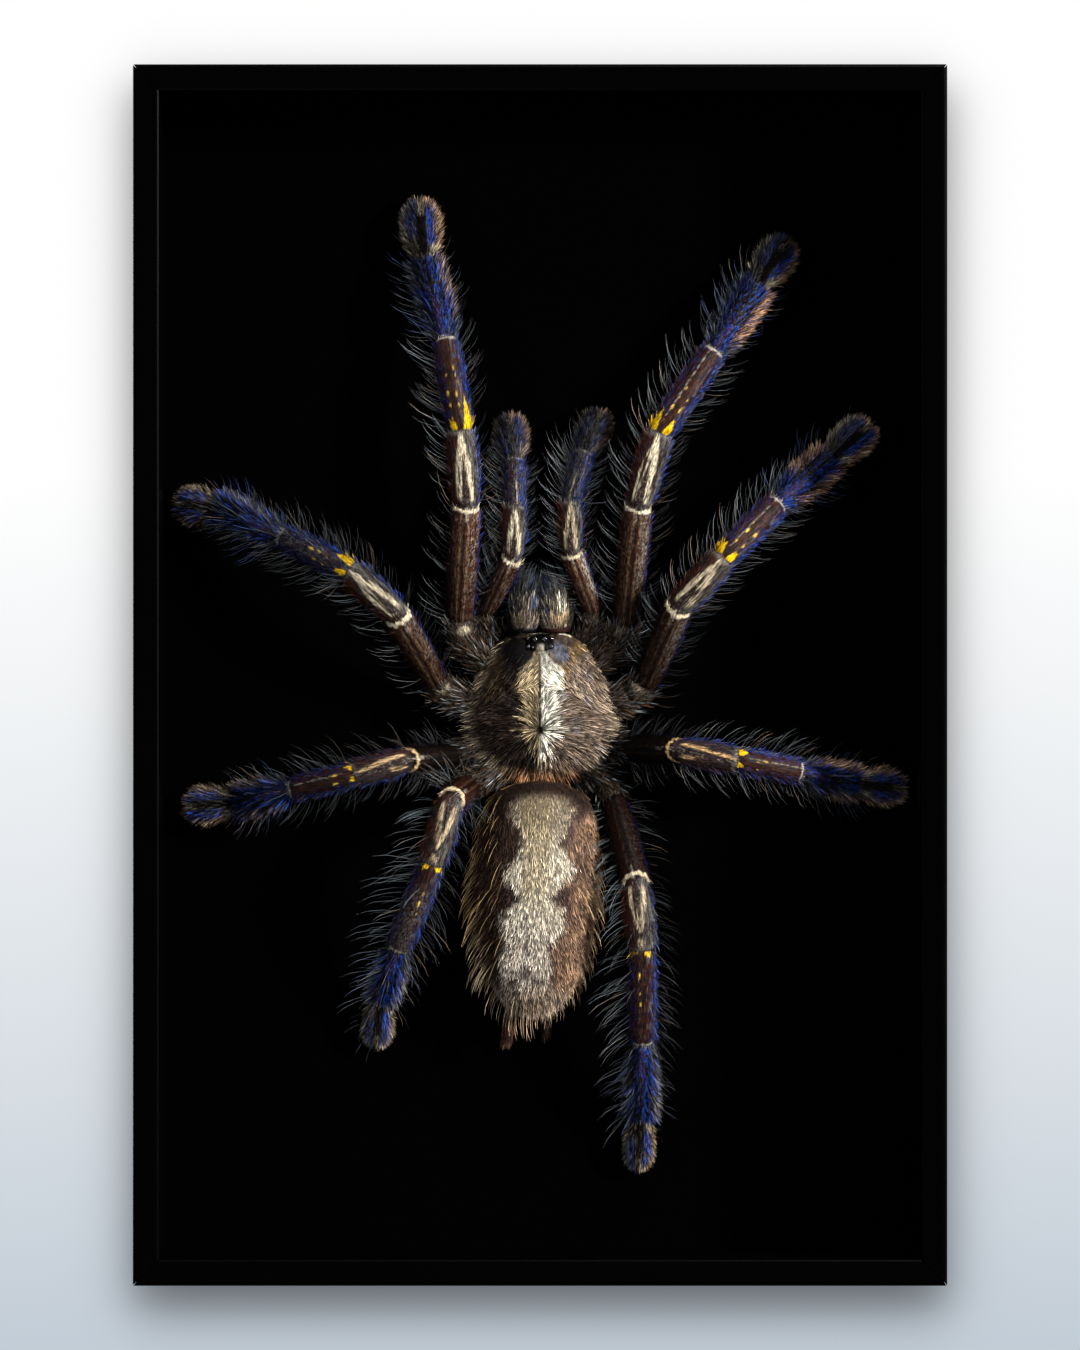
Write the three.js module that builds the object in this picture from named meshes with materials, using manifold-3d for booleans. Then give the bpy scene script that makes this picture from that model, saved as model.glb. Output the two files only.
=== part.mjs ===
// A framed tarantula specimen: a large tarantula, set dorsal side out with its legs spread,
// on the black backing board of a slim, deep, open-fronted box frame.
//
// Millimetres, +Z up. The frame stands upright on its bottom rail, and its front looks along -Y.
// The origin is the middle of the underside: x 0 is the frame's centre line, y 0 the middle of
// its depth, z 0 the surface that it stands on.

import * as THREE from "three";
import { mergeVertices } from "three/addons/utils/BufferGeometryUtils.js";
import Module from "manifold-3d";

const wasm = await Module();
wasm.setup();

// ---------- driving dimensions ----------

const FRAME_WIDTH = 120;
const FRAME_HEIGHT = 180;
const FRAME_DEPTH = 32;
const RIM = 4; // width of the rail's front edge
const REAR_WALL = 2.2; // thickness of the rail behind the rabbet step
const BOARD_THICK = 3.5;
const PANEL_THICK = 2.5;
const REAR_RECESS = 3.5; // how far the back panel lies inside the rear rim
const SHEET_GAP = 0.3; // play round the board and the panel in the rabbet
const MITRE_GAP = 0.1;
const TOUCH_GAP = 0.3; // air between pieces of the animal that meet

const REAR_Y = FRAME_DEPTH / 2;
const FRONT_Y = -FRAME_DEPTH / 2;
const PANEL_REAR_Y = REAR_Y - REAR_RECESS;
const BOARD_REAR_Y = PANEL_REAR_Y - PANEL_THICK;
const BOARD_FACE_Y = BOARD_REAR_Y - BOARD_THICK;

// ---------- the animal ----------
// A place on the animal is [x, z, height]: x and z in the board's plane from the middle of the
// frame, with z towards the head, and height off the board's face.

// The joints of each limb, from where its coxa meets the body to the tip of its foot:
// coxa, trochanter, femur, patella, tibia, metatarsus and tarsus lie between them.
const LEG_JOINTS = {
  left_leg_1: [
    [-6.2, 0.2, 4.4], [-11.3, 5.2, 5.4], [-11.9, 8.2, 6.4], [-10.9, 25.1, 10.5],
    [-11.8, 36.1, 11.0], [-14.0, 49.9, 8.0], [-17.2, 61.5, 3.8], [-17.9, 70.1, 2.0],
  ],
  right_leg_1: [
    [6.2, 0.2, 4.4], [11.5, 4.4, 5.4], [12.7, 7.6, 6.2], [14.5, 25.0, 10.5],
    [17.6, 35.8, 11.0], [25.8, 48.1, 8.0], [32.2, 57.8, 3.8], [36.6, 64.3, 2.0],
  ],
  left_leg_2: [
    [-7.0, -4.8, 4.4], [-13.4, -3.0, 5.4], [-15.3, -1.3, 6.2], [-21.1, 8.9, 13.5],
    [-28.1, 15.4, 14.2], [-38.3, 20.5, 9.5], [-48.0, 24.9, 3.8], [-53.6, 25.4, 2.0],
  ],
  right_leg_2: [
    [7.0, -4.8, 4.4], [13.4, -3.1, 5.4], [15.7, -1.3, 6.2], [20.5, 10.1, 13.5],
    [27.0, 17.2, 14.2], [35.2, 25.4, 9.5], [43.1, 32.1, 3.8], [48.8, 37.1, 2.0],
  ],
  left_leg_3: [
    [-6.5, -9.2, 4.4], [-10.9, -11.2, 5.2], [-12.7, -12.0, 6.0], [-19.6, -12.6, 13.2],
    [-27.3, -14.6, 13.8], [-36.8, -17.0, 9.6], [-45.1, -18.9, 3.8], [-52.3, -19.6, 2.0],
  ],
  right_leg_3: [
    [6.5, -9.2, 4.4], [11.0, -10.6, 5.2], [13.0, -10.9, 6.0], [20.4, -11.1, 13.2],
    [29.0, -12.5, 13.8], [38.5, -14.3, 9.6], [47.0, -16.2, 3.8], [53.8, -16.9, 2.0],
  ],
  left_leg_4: [
    [-5.2, -13.4, 4.4], [-9.4, -15.8, 5.4], [-10.6, -16.6, 7.0], [-13.2, -18.6, 15.4],
    [-15.9, -27.8, 15.0], [-21.0, -40.6, 9.0], [-23.7, -48.3, 4.0], [-24.3, -54.9, 2.0],
  ],
  right_leg_4: [
    [5.2, -13.4, 4.4], [9.6, -16.2, 5.4], [11.0, -18.6, 6.6], [14.2, -30.7, 14.2],
    [15.2, -40.6, 14.6], [15.2, -54.5, 9.6], [15.0, -65.8, 3.8], [14.6, -73.1, 2.0],
  ],
};
const PALP_JOINTS = {
  left_palp: [
    [-5.6, 4.2, 4.2], [-7.6, 7.0, 4.8], [-8.1, 8.9, 5.2], [-4.0, 17.5, 9.0],
    [-3.7, 25.0, 9.2], [-3.9, 31.9, 6.6], [-4.5, 38.0, 2.9],
  ],
  right_palp: [
    [5.6, 4.2, 4.2], [7.4, 7.0, 4.8], [8.0, 9.2, 5.2], [4.6, 18.3, 9.0],
    [4.5, 25.6, 9.2], [6.5, 33.0, 6.6], [8.9, 38.7, 2.9],
  ],
};

// Each segment's half-widths at its start, middle and end, and its height as a share of its width.
const LEG_SEGMENTS = [
  { name: "coxa", radii: [1.9, 2.1, 2.1], flat: 0.95 },
  { name: "trochanter", radii: [2.0, 2.1, 2.0], flat: 0.95 },
  { name: "femur", radii: [2.0, 2.35, 2.3], flat: 0.98 },
  { name: "patella", radii: [1.9, 2.3, 2.1], flat: 0.95 },
  { name: "tibia", radii: [1.95, 2.2, 2.1], flat: 0.95 },
  { name: "metatarsus", radii: [1.9, 2.4, 2.3], flat: 0.85 },
  { name: "tarsus", radii: [2.0, 2.7, 2.2], flat: 0.66 },
];
const PALP_SEGMENTS = [
  { name: "coxa", radii: [1.3, 1.5, 1.5], flat: 0.95 },
  { name: "trochanter", radii: [1.4, 1.5, 1.4], flat: 0.95 },
  { name: "femur", radii: [1.4, 1.75, 1.75], flat: 0.98 },
  { name: "patella", radii: [1.5, 1.85, 1.75], flat: 0.95 },
  { name: "tibia", radii: [1.6, 1.9, 1.9], flat: 0.9 },
  { name: "tarsus", radii: [1.8, 2.2, 1.9], flat: 0.75 },
];
const THIRD_LEG_WIDTH = 0.94; // the third legs are the slightest
const LIMB_SIDES = 8;

// The carapace from its front edge to its rear: [z, half-width, rise above its margin].
const CARAPACE_STATIONS = [
  [6.4, 0, 0], [6.3, 3.2, 2.4], [5.6, 5.0, 3.4], [3.4, 7.0, 4.4], [0.4, 8.7, 4.8], [-3.2, 9.9, 4.5],
  [-7.2, 10.3, 3.9], [-10.6, 9.3, 3.2], [-13.2, 6.9, 2.2], [-14.8, 3.6, 1.2], [-15.2, 0, 0],
];
const CARAPACE_MARGIN = 6.8; // height of its lower edge off the board
const CARAPACE_LIP = 0.5; // thickness of that edge
const STERNUM = { halfWidth: 4.2, front: 3.2, rear: -12.4, bottom: 2.4 };
const EYE_MOUND = { at: [0, 4.7, 10.9], size: [2.0, 1.3, 0.9] };

// The abdomen from the waist to its rear: [z, half-width].
const ABDOMEN_STATIONS = [
  [-15.7, 0], [-16.1, 3.6], [-17.6, 6.8], [-21.4, 8.6], [-26.6, 9.2], [-33.6, 8.9],
  [-38.8, 8.3], [-43.8, 7.2], [-48.0, 5.0], [-50.1, 2.6], [-50.6, 0],
];
const ABDOMEN_HEIGHT_SHARE = 0.84;
const ABDOMEN_MID_HEIGHT = 8.0;
const ABDOMEN_LEAN = -0.028; // sideways drift for each millimetre towards the rear
const WAIST_RADIUS = 1.3;

const CHELICERA = { base: [2.45, 6.9, 6.6], tip: [2.25, 14.0, 5.4], radii: [2.0, 2.2, 1.7], flat: 1.25 };
const FANG = { base: [2.1, 14.2, 4.2], tip: [1.7, 11.4, 1.7], radii: [0.6, 0.5, 0.2] };
const SPINNERETS = {
  left_spinneret: { base: [-3.8, -47.0, 6.6], tip: [-5.0, -54.6, 6.2] },
  right_spinneret: { base: [0.2, -48.0, 6.6], tip: [0.8, -53.4, 6.0] },
};
const SPINNERET_RADII = [0.95, 0.9, 0.55];

// ---------- finishes ----------

const finish = (color, roughness, metalness = 0) =>
  new THREE.MeshStandardMaterial({ color, roughness, metalness });
const FINISHES = {
  frame: () => finish(0x08080a, 0.55),
  velvet: () => finish(0x020203, 0.95),
  hardboard: () => finish(0x2a211b, 0.8),
  steel: () => finish(0x9a9ba0, 0.4, 0.9),
  carapace: () => finish(0x8d7a5c, 0.8),
  abdomen: () => finish(0x94826a, 0.85),
  leg: () => finish(0x2b2440, 0.7),
  chelicera: () => finish(0x3d3a38, 0.75),
  spinneret: () => finish(0x4a2f1e, 0.6),
};

// ---------- solids ----------

// A closed geometry as a manifold solid, with its faces pointing out.
function solid(geometry) {
  const bare = geometry.clone().deleteAttribute("normal").deleteAttribute("uv");
  const merged = mergeVertices(bare, 1e-4);
  const vertProperties = new Float32Array(merged.attributes.position.array);
  const triVerts = new Uint32Array(merged.index.array);
  const made = new wasm.Manifold(new wasm.Mesh({ numProp: 3, vertProperties, triVerts }));
  if (made.volume() > 0) return made;
  for (let i = 0; i < triVerts.length; i += 3) {
    [triVerts[i + 1], triVerts[i + 2]] = [triVerts[i + 2], triVerts[i + 1]];
  }
  return new wasm.Manifold(new wasm.Mesh({ numProp: 3, vertProperties, triVerts }));
}

function geometryOf(made) {
  const { numVert, numProp, vertProperties, triVerts } = made.getMesh();
  const positions = new Float32Array(numVert * 3);
  for (let i = 0; i < numVert; i++) {
    positions.set(vertProperties.subarray(i * numProp, i * numProp + 3), i * 3);
  }
  const geometry = new THREE.BufferGeometry()
    .setAttribute("position", new THREE.BufferAttribute(positions, 3))
    .setIndex(new THREE.BufferAttribute(triVerts, 1));
  geometry.computeVertexNormals();
  return geometry;
}

function piece(name, made, material) {
  const mesh = new THREE.Mesh(geometryOf(made), material);
  mesh.name = name;
  return mesh;
}

// A box between two corners.
function boxBetween(low, high) {
  const size = high.map((v, i) => v - low[i]);
  const middle = high.map((v, i) => (v + low[i]) / 2);
  return solid(new THREE.BoxGeometry(...size).translate(...middle));
}

// A flat outline in x and z, [x, z] corners, as a plate between two depths.
function plate(outline, frontY, rearY) {
  const shape = new THREE.Shape(outline.map(([x, z]) => new THREE.Vector2(x, z)));
  const geometry = new THREE.ExtrudeGeometry(shape, { depth: rearY - frontY, bevelEnabled: false });
  return solid(geometry.rotateX(Math.PI / 2).translate(0, rearY, 0));
}

// A place on the animal in the specimen group's own axes.
const place = ([x, z, height]) => new THREE.Vector3(x, -height, z);

// A turned, slightly flattened limb segment from one place to another, with domed ends.
function segment(from, to, radii, flat, sides) {
  const start = place(from);
  const along = place(to).sub(start);
  const length = along.length();
  along.normalize();
  const side = new THREE.Vector3(0, -1, 0).cross(along).normalize();
  const up = new THREE.Vector3().crossVectors(side, along);
  const [r0, r1, r2] = radii;
  const profile = [
    [0, -0.45 * r0],
    [0.72 * r0, -0.2 * r0],
    [r0, 0.12 * length],
    [r1, 0.5 * length],
    [r2, 0.93 * length],
    [0.74 * r2, length + 0.16 * r2],
    [0, length + 0.34 * r2],
  ].map(([r, y]) => new THREE.Vector2(r, y));
  const turned = new THREE.LatheGeometry(profile, sides).scale(1, 1, flat);
  const frame = new THREE.Matrix4().makeBasis(side, along, up).setPosition(start);
  return solid(turned.applyMatrix4(frame));
}

function limb(joints, segments, width) {
  return segments
    .map(({ radii, flat }, i) =>
      segment(joints[i], joints[i + 1], radii.map((r) => r * width), flat, LIMB_SIDES))
    .reduce((whole, next) => whole.add(next));
}

// A body plate or sac turned from stations along its length, then reshaped.
// reshape takes the point at unit angle a, the station's half-width and its third value.
function turnedBody(stations, steps, sides, grow, reshape) {
  const line = new THREE.CatmullRomCurve3(
    stations.map(([z, halfWidth, rise = 0]) => new THREE.Vector3(halfWidth, z, rise)),
  ).getPoints(steps);
  const last = line.length - 1;
  line[0].x = 0;
  line[last].x = 0;
  line[0].y += grow;
  line[last].y -= grow;
  const profile = line.map((p, i) => new THREE.Vector2(i % last ? Math.max(p.x, 0.05) + grow : 0, p.y));
  const geometry = new THREE.LatheGeometry(profile, sides);
  const at = geometry.attributes.position;
  for (let i = 0; i < at.count; i++) {
    const angle = Math.atan2(at.getZ(i), at.getX(i));
    const radius = Math.hypot(at.getX(i), at.getZ(i));
    const made = reshape(angle, radius, at.getY(i), Math.max(line[i % line.length].z, 0));
    at.setXYZ(i, ...place(made).toArray());
  }
  return solid(geometry);
}

function carapace(grow) {
  return turnedBody(CARAPACE_STATIONS, 14, 18, grow, (angle, radius, z, rise) => {
    const lift = Math.sin(angle);
    const height = lift > 0 ? (rise + grow) * lift ** 0.85 : (CARAPACE_LIP + grow) * lift;
    return [radius * Math.cos(angle), z, CARAPACE_MARGIN + height];
  });
}

function sternum(grow) {
  const { halfWidth, front, rear, bottom } = STERNUM;
  const shield = new THREE.SphereGeometry(1, 12, 8)
    .scale(halfWidth + grow, CARAPACE_MARGIN - bottom + grow, (front - rear) / 2 + grow)
    .translate(0, -CARAPACE_MARGIN, (front + rear) / 2);
  const below = boxBetween([-20, -CARAPACE_MARGIN - 0.2, -30], [20, 0, 30]);
  return solid(shield).intersect(below);
}

function mound({ at, size: [across, along, high] }) {
  const centre = place(at);
  const dome = new THREE.SphereGeometry(1, 10, 6).scale(across, high, along);
  return solid(dome.translate(centre.x, centre.y, centre.z));
}

function abdomen(grow) {
  const front = ABDOMEN_STATIONS[0][0];
  return turnedBody(ABDOMEN_STATIONS, 14, 16, grow, (angle, radius, z) => [
    radius * Math.cos(angle) + ABDOMEN_LEAN * (front - z),
    z,
    ABDOMEN_MID_HEIGHT + radius * ABDOMEN_HEIGHT_SHARE * Math.sin(angle),
  ]);
}

const mirrored = ([x, z, height], sign) => [sign * x, z, height];

function chelicera(sign) {
  const { base, tip, radii, flat } = CHELICERA;
  const basal = segment(mirrored(base, sign), mirrored(tip, sign), radii, flat, 10);
  const fang = segment(mirrored(FANG.base, sign), mirrored(FANG.tip, sign), FANG.radii, 1, 6);
  return basal.add(fang);
}

// ---------- the frame ----------

// A rail of the given length, lying along x with its outer face down, mitred at both ends,
// with the rabbet for the board and the panel cut from its rear.
function rail(length) {
  const half = length / 2;
  const outline = [
    [-half + MITRE_GAP, 0],
    [half - MITRE_GAP, 0],
    [half - RIM - MITRE_GAP, RIM],
    [-half + RIM + MITRE_GAP, RIM],
  ];
  const rabbet = boxBetween([-half, BOARD_FACE_Y, REAR_WALL], [half, REAR_Y + 1, RIM + 1]);
  return plate(outline, FRONT_Y, REAR_Y).subtract(rabbet);
}

function sheet(frontY, rearY) {
  const inset = REAR_WALL + SHEET_GAP;
  const halfWidth = FRAME_WIDTH / 2 - inset;
  return boxBetween([-halfWidth, frontY, inset], [halfWidth, rearY, FRAME_HEIGHT - inset]);
}

const HANGER = { width: 34, height: 8, thick: 0.7, foot: 7, bridge: 1.0, teeth: 7, toothDepth: 1.6 };
const HANGER_DROP = 14; // from the top of the frame to the top of the hanger
const RIVET = { radius: 1.5, high: 0.8 };
const POINT = { width: 6, reach: 7, thick: 0.6 };

// The saw-tooth hanger: a strip with flat feet and a raised middle, toothed along its lower edge.
function hanger() {
  const { width, height, thick, foot, bridge, teeth, toothDepth } = HANGER;
  const half = width / 2;
  const inner = half - foot;
  const line = [[-half, 0], [-inner, 0], [-inner + 1, bridge], [inner - 1, bridge], [inner, 0], [half, 0]];
  const rim = [...line, ...line.map(([x, y]) => [x, y + thick]).reverse()];
  const shape = new THREE.Shape(rim.map(([x, y]) => new THREE.Vector2(x, y)));
  let strip = solid(new THREE.ExtrudeGeometry(shape, { depth: height, bevelEnabled: false }));
  const pitch = (2 * (inner - 2)) / teeth;
  for (let i = 0; i < teeth; i++) {
    const x = (i - (teeth - 1) / 2) * pitch;
    const notch = [[x - 0.4 * pitch, -0.5], [x + 0.4 * pitch, -0.5], [x, toothDepth]];
    strip = strip.subtract(plate(notch, -1, bridge + 2));
  }
  return strip;
}

// A rivet or pin head that lies on a surface facing +Y.
function rivetHead() {
  const { radius, high } = RIVET;
  const profile = [[0, 0], [radius, 0], [radius, 0.35 * high], [0.6 * radius, high], [0, high]];
  const points = profile.map(([r, y]) => new THREE.Vector2(r, y));
  return solid(new THREE.LatheGeometry(points, 12));
}

// A steel point that holds the panel in, with its square end against a rail.
function framePoint() {
  const { width, reach, thick } = POINT;
  const half = width / 2;
  return plate([[-half, 0], [half, 0], [half, 0.35 * reach], [0, reach], [-half, 0.35 * reach]], 0, thick);
}

// ---------- assembly ----------

const object = new THREE.Group();

const RAILS = {
  bottom_rail: { length: FRAME_WIDTH, turn: 0, x: 0, z: 0 },
  right_rail: { length: FRAME_HEIGHT, turn: -Math.PI / 2, x: FRAME_WIDTH / 2, z: FRAME_HEIGHT / 2 },
  top_rail: { length: FRAME_WIDTH, turn: Math.PI, x: 0, z: FRAME_HEIGHT },
  left_rail: { length: FRAME_HEIGHT, turn: Math.PI / 2, x: -FRAME_WIDTH / 2, z: FRAME_HEIGHT / 2 },
};
for (const [name, { length, turn, x, z }] of Object.entries(RAILS)) {
  const mesh = piece(name, rail(length), FINISHES.frame());
  mesh.position.set(x, 0, z);
  mesh.rotation.y = turn;
  object.add(mesh);
}
object.add(piece("backing_board", sheet(BOARD_FACE_Y, BOARD_REAR_Y), FINISHES.velvet()));
object.add(piece("back_panel", sheet(BOARD_REAR_Y, PANEL_REAR_Y), FINISHES.hardboard()));

const hardware = new THREE.Group();
hardware.position.y = PANEL_REAR_Y;
object.add(hardware);
const hangerMesh = piece("hanger", hanger(), FINISHES.steel());
hangerMesh.position.z = FRAME_HEIGHT - HANGER_DROP - HANGER.height;
hardware.add(hangerMesh);
for (const [name, sign] of Object.entries({ left: -1, right: 1 })) {
  const rivet = piece(`${name}_hanger_rivet`, rivetHead(), FINISHES.steel());
  const x = sign * (HANGER.width - HANGER.foot) / 2;
  rivet.position.set(x, HANGER.thick, hangerMesh.position.z + HANGER.height / 2);
  hardware.add(rivet);
}
const POINTS = {
  left_upper: [-1, 0.72], left_lower: [-1, 0.28], right_upper: [1, 0.72], right_lower: [1, 0.28],
};
for (const [name, [sign, share]] of Object.entries(POINTS)) {
  const mesh = piece(`${name}_frame_point`, framePoint(), FINISHES.steel());
  mesh.rotation.y = -sign * Math.PI / 2;
  mesh.position.set(sign * (FRAME_WIDTH / 2 - REAR_WALL - 0.02), 0, share * FRAME_HEIGHT);
  hardware.add(mesh);
}
for (const [name, turn, z] of [["top", Math.PI, FRAME_HEIGHT - REAR_WALL - 0.02], ["bottom", 0, REAR_WALL + 0.02]]) {
  const mesh = piece(`${name}_frame_point`, framePoint(), FINISHES.steel());
  mesh.rotation.y = turn;
  mesh.position.z = z;
  hardware.add(mesh);
}

const specimen = new THREE.Group();
specimen.position.set(0, BOARD_FACE_Y, FRAME_HEIGHT / 2);
object.add(specimen);

const prosoma = (grow) => carapace(grow).add(sternum(grow));
const keepClear = prosoma(TOUCH_GAP).add(abdomen(TOUCH_GAP));
const offBoard = boxBetween([-80, -60, -100], [80, -0.1, 100]);

specimen.add(piece("carapace", prosoma(0).add(mound(EYE_MOUND)), FINISHES.carapace()));
const waist = segment([0, -12.6, 6.2], [0, -17.2, 6.8], [WAIST_RADIUS, WAIST_RADIUS, WAIST_RADIUS], 1, 8);
specimen.add(piece("abdomen", abdomen(0).add(waist.subtract(prosoma(TOUCH_GAP))), FINISHES.abdomen()));

for (const [name, sign] of Object.entries({ left_chelicera: -1, right_chelicera: 1 })) {
  specimen.add(piece(name, chelicera(sign).subtract(keepClear), FINISHES.chelicera()));
}
for (const [name, { base, tip }] of Object.entries(SPINNERETS)) {
  const made = segment(base, tip, SPINNERET_RADII, 1, 8).subtract(keepClear);
  specimen.add(piece(name, made, FINISHES.spinneret()));
}
for (const [name, joints] of Object.entries(LEG_JOINTS)) {
  const width = name.endsWith("leg_3") ? THIRD_LEG_WIDTH : 1;
  const made = limb(joints, LEG_SEGMENTS, width).subtract(keepClear).intersect(offBoard);
  specimen.add(piece(name, made, FINISHES.leg()));
}
for (const [name, joints] of Object.entries(PALP_JOINTS)) {
  const made = limb(joints, PALP_SEGMENTS, 1).subtract(keepClear).intersect(offBoard);
  specimen.add(piece(name, made, FINISHES.leg()));
}

export default object;
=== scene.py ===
"""The framed tarantula specimen, dressed for rendering.

Places on the animal are [x, z, height] in millimetres, as in the solids: x and z in the board's
plane from its middle, z towards the head, and height off the board's face. Everything is turned
into metres in the row frame as its mesh is made.
"""

import math
from functools import partial

import bmesh
import bpy
import numpy as np
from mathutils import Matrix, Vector


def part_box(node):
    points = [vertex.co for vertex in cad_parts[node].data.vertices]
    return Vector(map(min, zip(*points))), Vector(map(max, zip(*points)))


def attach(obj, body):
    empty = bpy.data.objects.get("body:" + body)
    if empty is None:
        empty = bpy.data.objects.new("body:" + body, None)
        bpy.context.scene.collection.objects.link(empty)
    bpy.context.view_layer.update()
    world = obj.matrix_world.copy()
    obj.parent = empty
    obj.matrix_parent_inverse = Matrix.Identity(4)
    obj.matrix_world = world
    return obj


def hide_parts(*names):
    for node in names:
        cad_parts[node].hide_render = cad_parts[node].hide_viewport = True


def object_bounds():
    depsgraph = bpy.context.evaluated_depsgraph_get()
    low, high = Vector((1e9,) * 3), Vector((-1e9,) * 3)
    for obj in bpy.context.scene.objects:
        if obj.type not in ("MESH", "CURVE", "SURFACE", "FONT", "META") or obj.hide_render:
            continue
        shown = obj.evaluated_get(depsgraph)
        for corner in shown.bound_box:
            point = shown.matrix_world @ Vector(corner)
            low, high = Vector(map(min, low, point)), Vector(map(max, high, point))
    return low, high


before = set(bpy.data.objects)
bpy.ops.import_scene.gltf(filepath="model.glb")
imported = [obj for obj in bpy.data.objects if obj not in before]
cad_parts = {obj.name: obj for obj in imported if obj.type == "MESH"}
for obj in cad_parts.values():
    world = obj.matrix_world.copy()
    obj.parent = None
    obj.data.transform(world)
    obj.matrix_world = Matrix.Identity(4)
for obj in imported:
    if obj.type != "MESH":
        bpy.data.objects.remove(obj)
solid_low, solid_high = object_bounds()

# ---------- sizes taken from the solids ----------

MM = 0.001
BOARD_LOW, BOARD_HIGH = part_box("backing_board")
PANEL_LOW, PANEL_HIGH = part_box("back_panel")
BOARD_FACE_Y = BOARD_LOW.y
CENTRE_Z = (BOARD_LOW.z + BOARD_HIGH.z) / 2
FRAME_WIDTH = solid_high.x - solid_low.x
FRAME_HEIGHT = solid_high.z - solid_low.z
FRONT_Y, REAR_Y = solid_low.y, solid_high.y
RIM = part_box("bottom_rail")[1].z
REAR_WALL = BOARD_LOW.z - 0.3 * MM
MITRE_GAP = 0.1 * MM

# ---------- the limbs ----------

# The joints of each limb, from where its coxa meets the body to the tip of its foot.
LEG_JOINTS = {
    "left_leg_1": [
        [-6.2, 0.2, 4.4], [-11.3, 5.2, 5.4], [-11.9, 8.2, 6.4], [-10.9, 25.1, 10.5],
        [-11.8, 36.1, 11.0], [-14.0, 49.9, 8.0], [-17.2, 61.5, 3.8], [-17.9, 70.1, 2.0],
    ],
    "right_leg_1": [
        [6.2, 0.2, 4.4], [11.5, 4.4, 5.4], [12.7, 7.6, 6.2], [14.5, 25.0, 10.5],
        [17.6, 35.8, 11.0], [25.8, 48.1, 8.0], [32.2, 57.8, 3.8], [36.6, 64.3, 2.0],
    ],
    "left_leg_2": [
        [-7.0, -4.8, 4.4], [-13.4, -3.0, 5.4], [-15.3, -1.3, 6.2], [-21.1, 8.9, 13.5],
        [-28.1, 15.4, 14.2], [-38.3, 20.5, 9.5], [-48.0, 24.9, 3.8], [-53.6, 25.4, 2.0],
    ],
    "right_leg_2": [
        [7.0, -4.8, 4.4], [13.4, -3.1, 5.4], [15.7, -1.3, 6.2], [20.5, 10.1, 13.5],
        [27.0, 17.2, 14.2], [35.2, 25.4, 9.5], [43.1, 32.1, 3.8], [48.8, 37.1, 2.0],
    ],
    "left_leg_3": [
        [-6.5, -9.2, 4.4], [-10.9, -11.2, 5.2], [-12.7, -12.0, 6.0], [-19.6, -12.6, 13.2],
        [-27.3, -14.6, 13.8], [-36.8, -17.0, 9.6], [-45.1, -18.9, 3.8], [-52.3, -19.6, 2.0],
    ],
    "right_leg_3": [
        [6.5, -9.2, 4.4], [11.0, -10.6, 5.2], [13.0, -10.9, 6.0], [20.4, -11.1, 13.2],
        [29.0, -12.5, 13.8], [38.5, -14.3, 9.6], [47.0, -16.2, 3.8], [53.8, -16.9, 2.0],
    ],
    "left_leg_4": [
        [-5.2, -13.4, 4.4], [-9.4, -15.8, 5.4], [-10.6, -16.6, 7.0], [-13.2, -18.6, 15.4],
        [-15.9, -27.8, 15.0], [-21.0, -40.6, 9.0], [-23.7, -48.3, 4.0], [-24.3, -54.9, 2.0],
    ],
    "right_leg_4": [
        [5.2, -13.4, 4.4], [9.6, -16.2, 5.4], [11.0, -18.6, 6.6], [14.2, -30.7, 14.2],
        [15.2, -40.6, 14.6], [15.2, -54.5, 9.6], [15.0, -65.8, 3.8], [14.6, -73.1, 2.0],
    ],
}
PALP_JOINTS = {
    "left_palp": [
        [-5.6, 4.2, 4.2], [-7.6, 7.0, 4.8], [-8.1, 8.9, 5.2], [-4.0, 17.5, 9.0],
        [-3.7, 25.0, 9.2], [-3.9, 31.9, 6.6], [-4.5, 38.0, 2.9],
    ],
    "right_palp": [
        [5.6, 4.2, 4.2], [7.4, 7.0, 4.8], [8.0, 9.2, 5.2], [4.6, 18.3, 9.0],
        [4.5, 25.6, 9.2], [6.5, 33.0, 6.6], [8.9, 38.7, 2.9],
    ],
}
COXA, TROCHANTER, FEMUR, PATELLA, TIBIA, METATARSUS, TARSUS = range(7)
LEG_PARTS = [COXA, TROCHANTER, FEMUR, PATELLA, TIBIA, METATARSUS, TARSUS]
PALP_PARTS = [COXA, TROCHANTER, FEMUR, PATELLA, TIBIA, TARSUS]

# Half-width of each part's skin at its start, middle and end, and height as a share of width.
LEG_SHAPE = {
    COXA: (2.0, 2.15, 2.1, 0.95),
    TROCHANTER: (2.0, 2.1, 1.95, 0.95),
    FEMUR: (1.85, 2.15, 2.1, 0.98),
    PATELLA: (1.9, 2.2, 1.95, 0.95),
    TIBIA: (1.85, 2.0, 1.85, 0.95),
    METATARSUS: (1.55, 2.0, 2.1, 0.85),
    TARSUS: (1.5, 2.45, 2.15, 0.7),
}
PALP_SHAPE = {
    COXA: (1.4, 1.5, 1.5, 0.95),
    TROCHANTER: (1.4, 1.5, 1.4, 0.95),
    FEMUR: (1.35, 1.6, 1.6, 0.98),
    PATELLA: (1.45, 1.75, 1.6, 0.95),
    TIBIA: (1.5, 1.7, 1.65, 0.92),
    TARSUS: (1.6, 1.95, 1.7, 0.78),
}
HIND_LEG_SHAPE = {**LEG_SHAPE, METATARSUS: (1.5, 1.8, 1.8, 0.85), TARSUS: (1.4, 2.0, 1.8, 0.7)}
THIRD_LEG_WIDTH = 0.94
JOINT_NOTCH = 0.13  # how much the skin narrows at a joint, as a share of its width
JOINT_REACH = 0.55  # how far from the joint, in millimetres
BOW, BOW_LENGTH = 0.5, 15  # how far a part of this length is bowed up, in millimetres
LOWEST = 0.12  # height that no skin goes under

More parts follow.
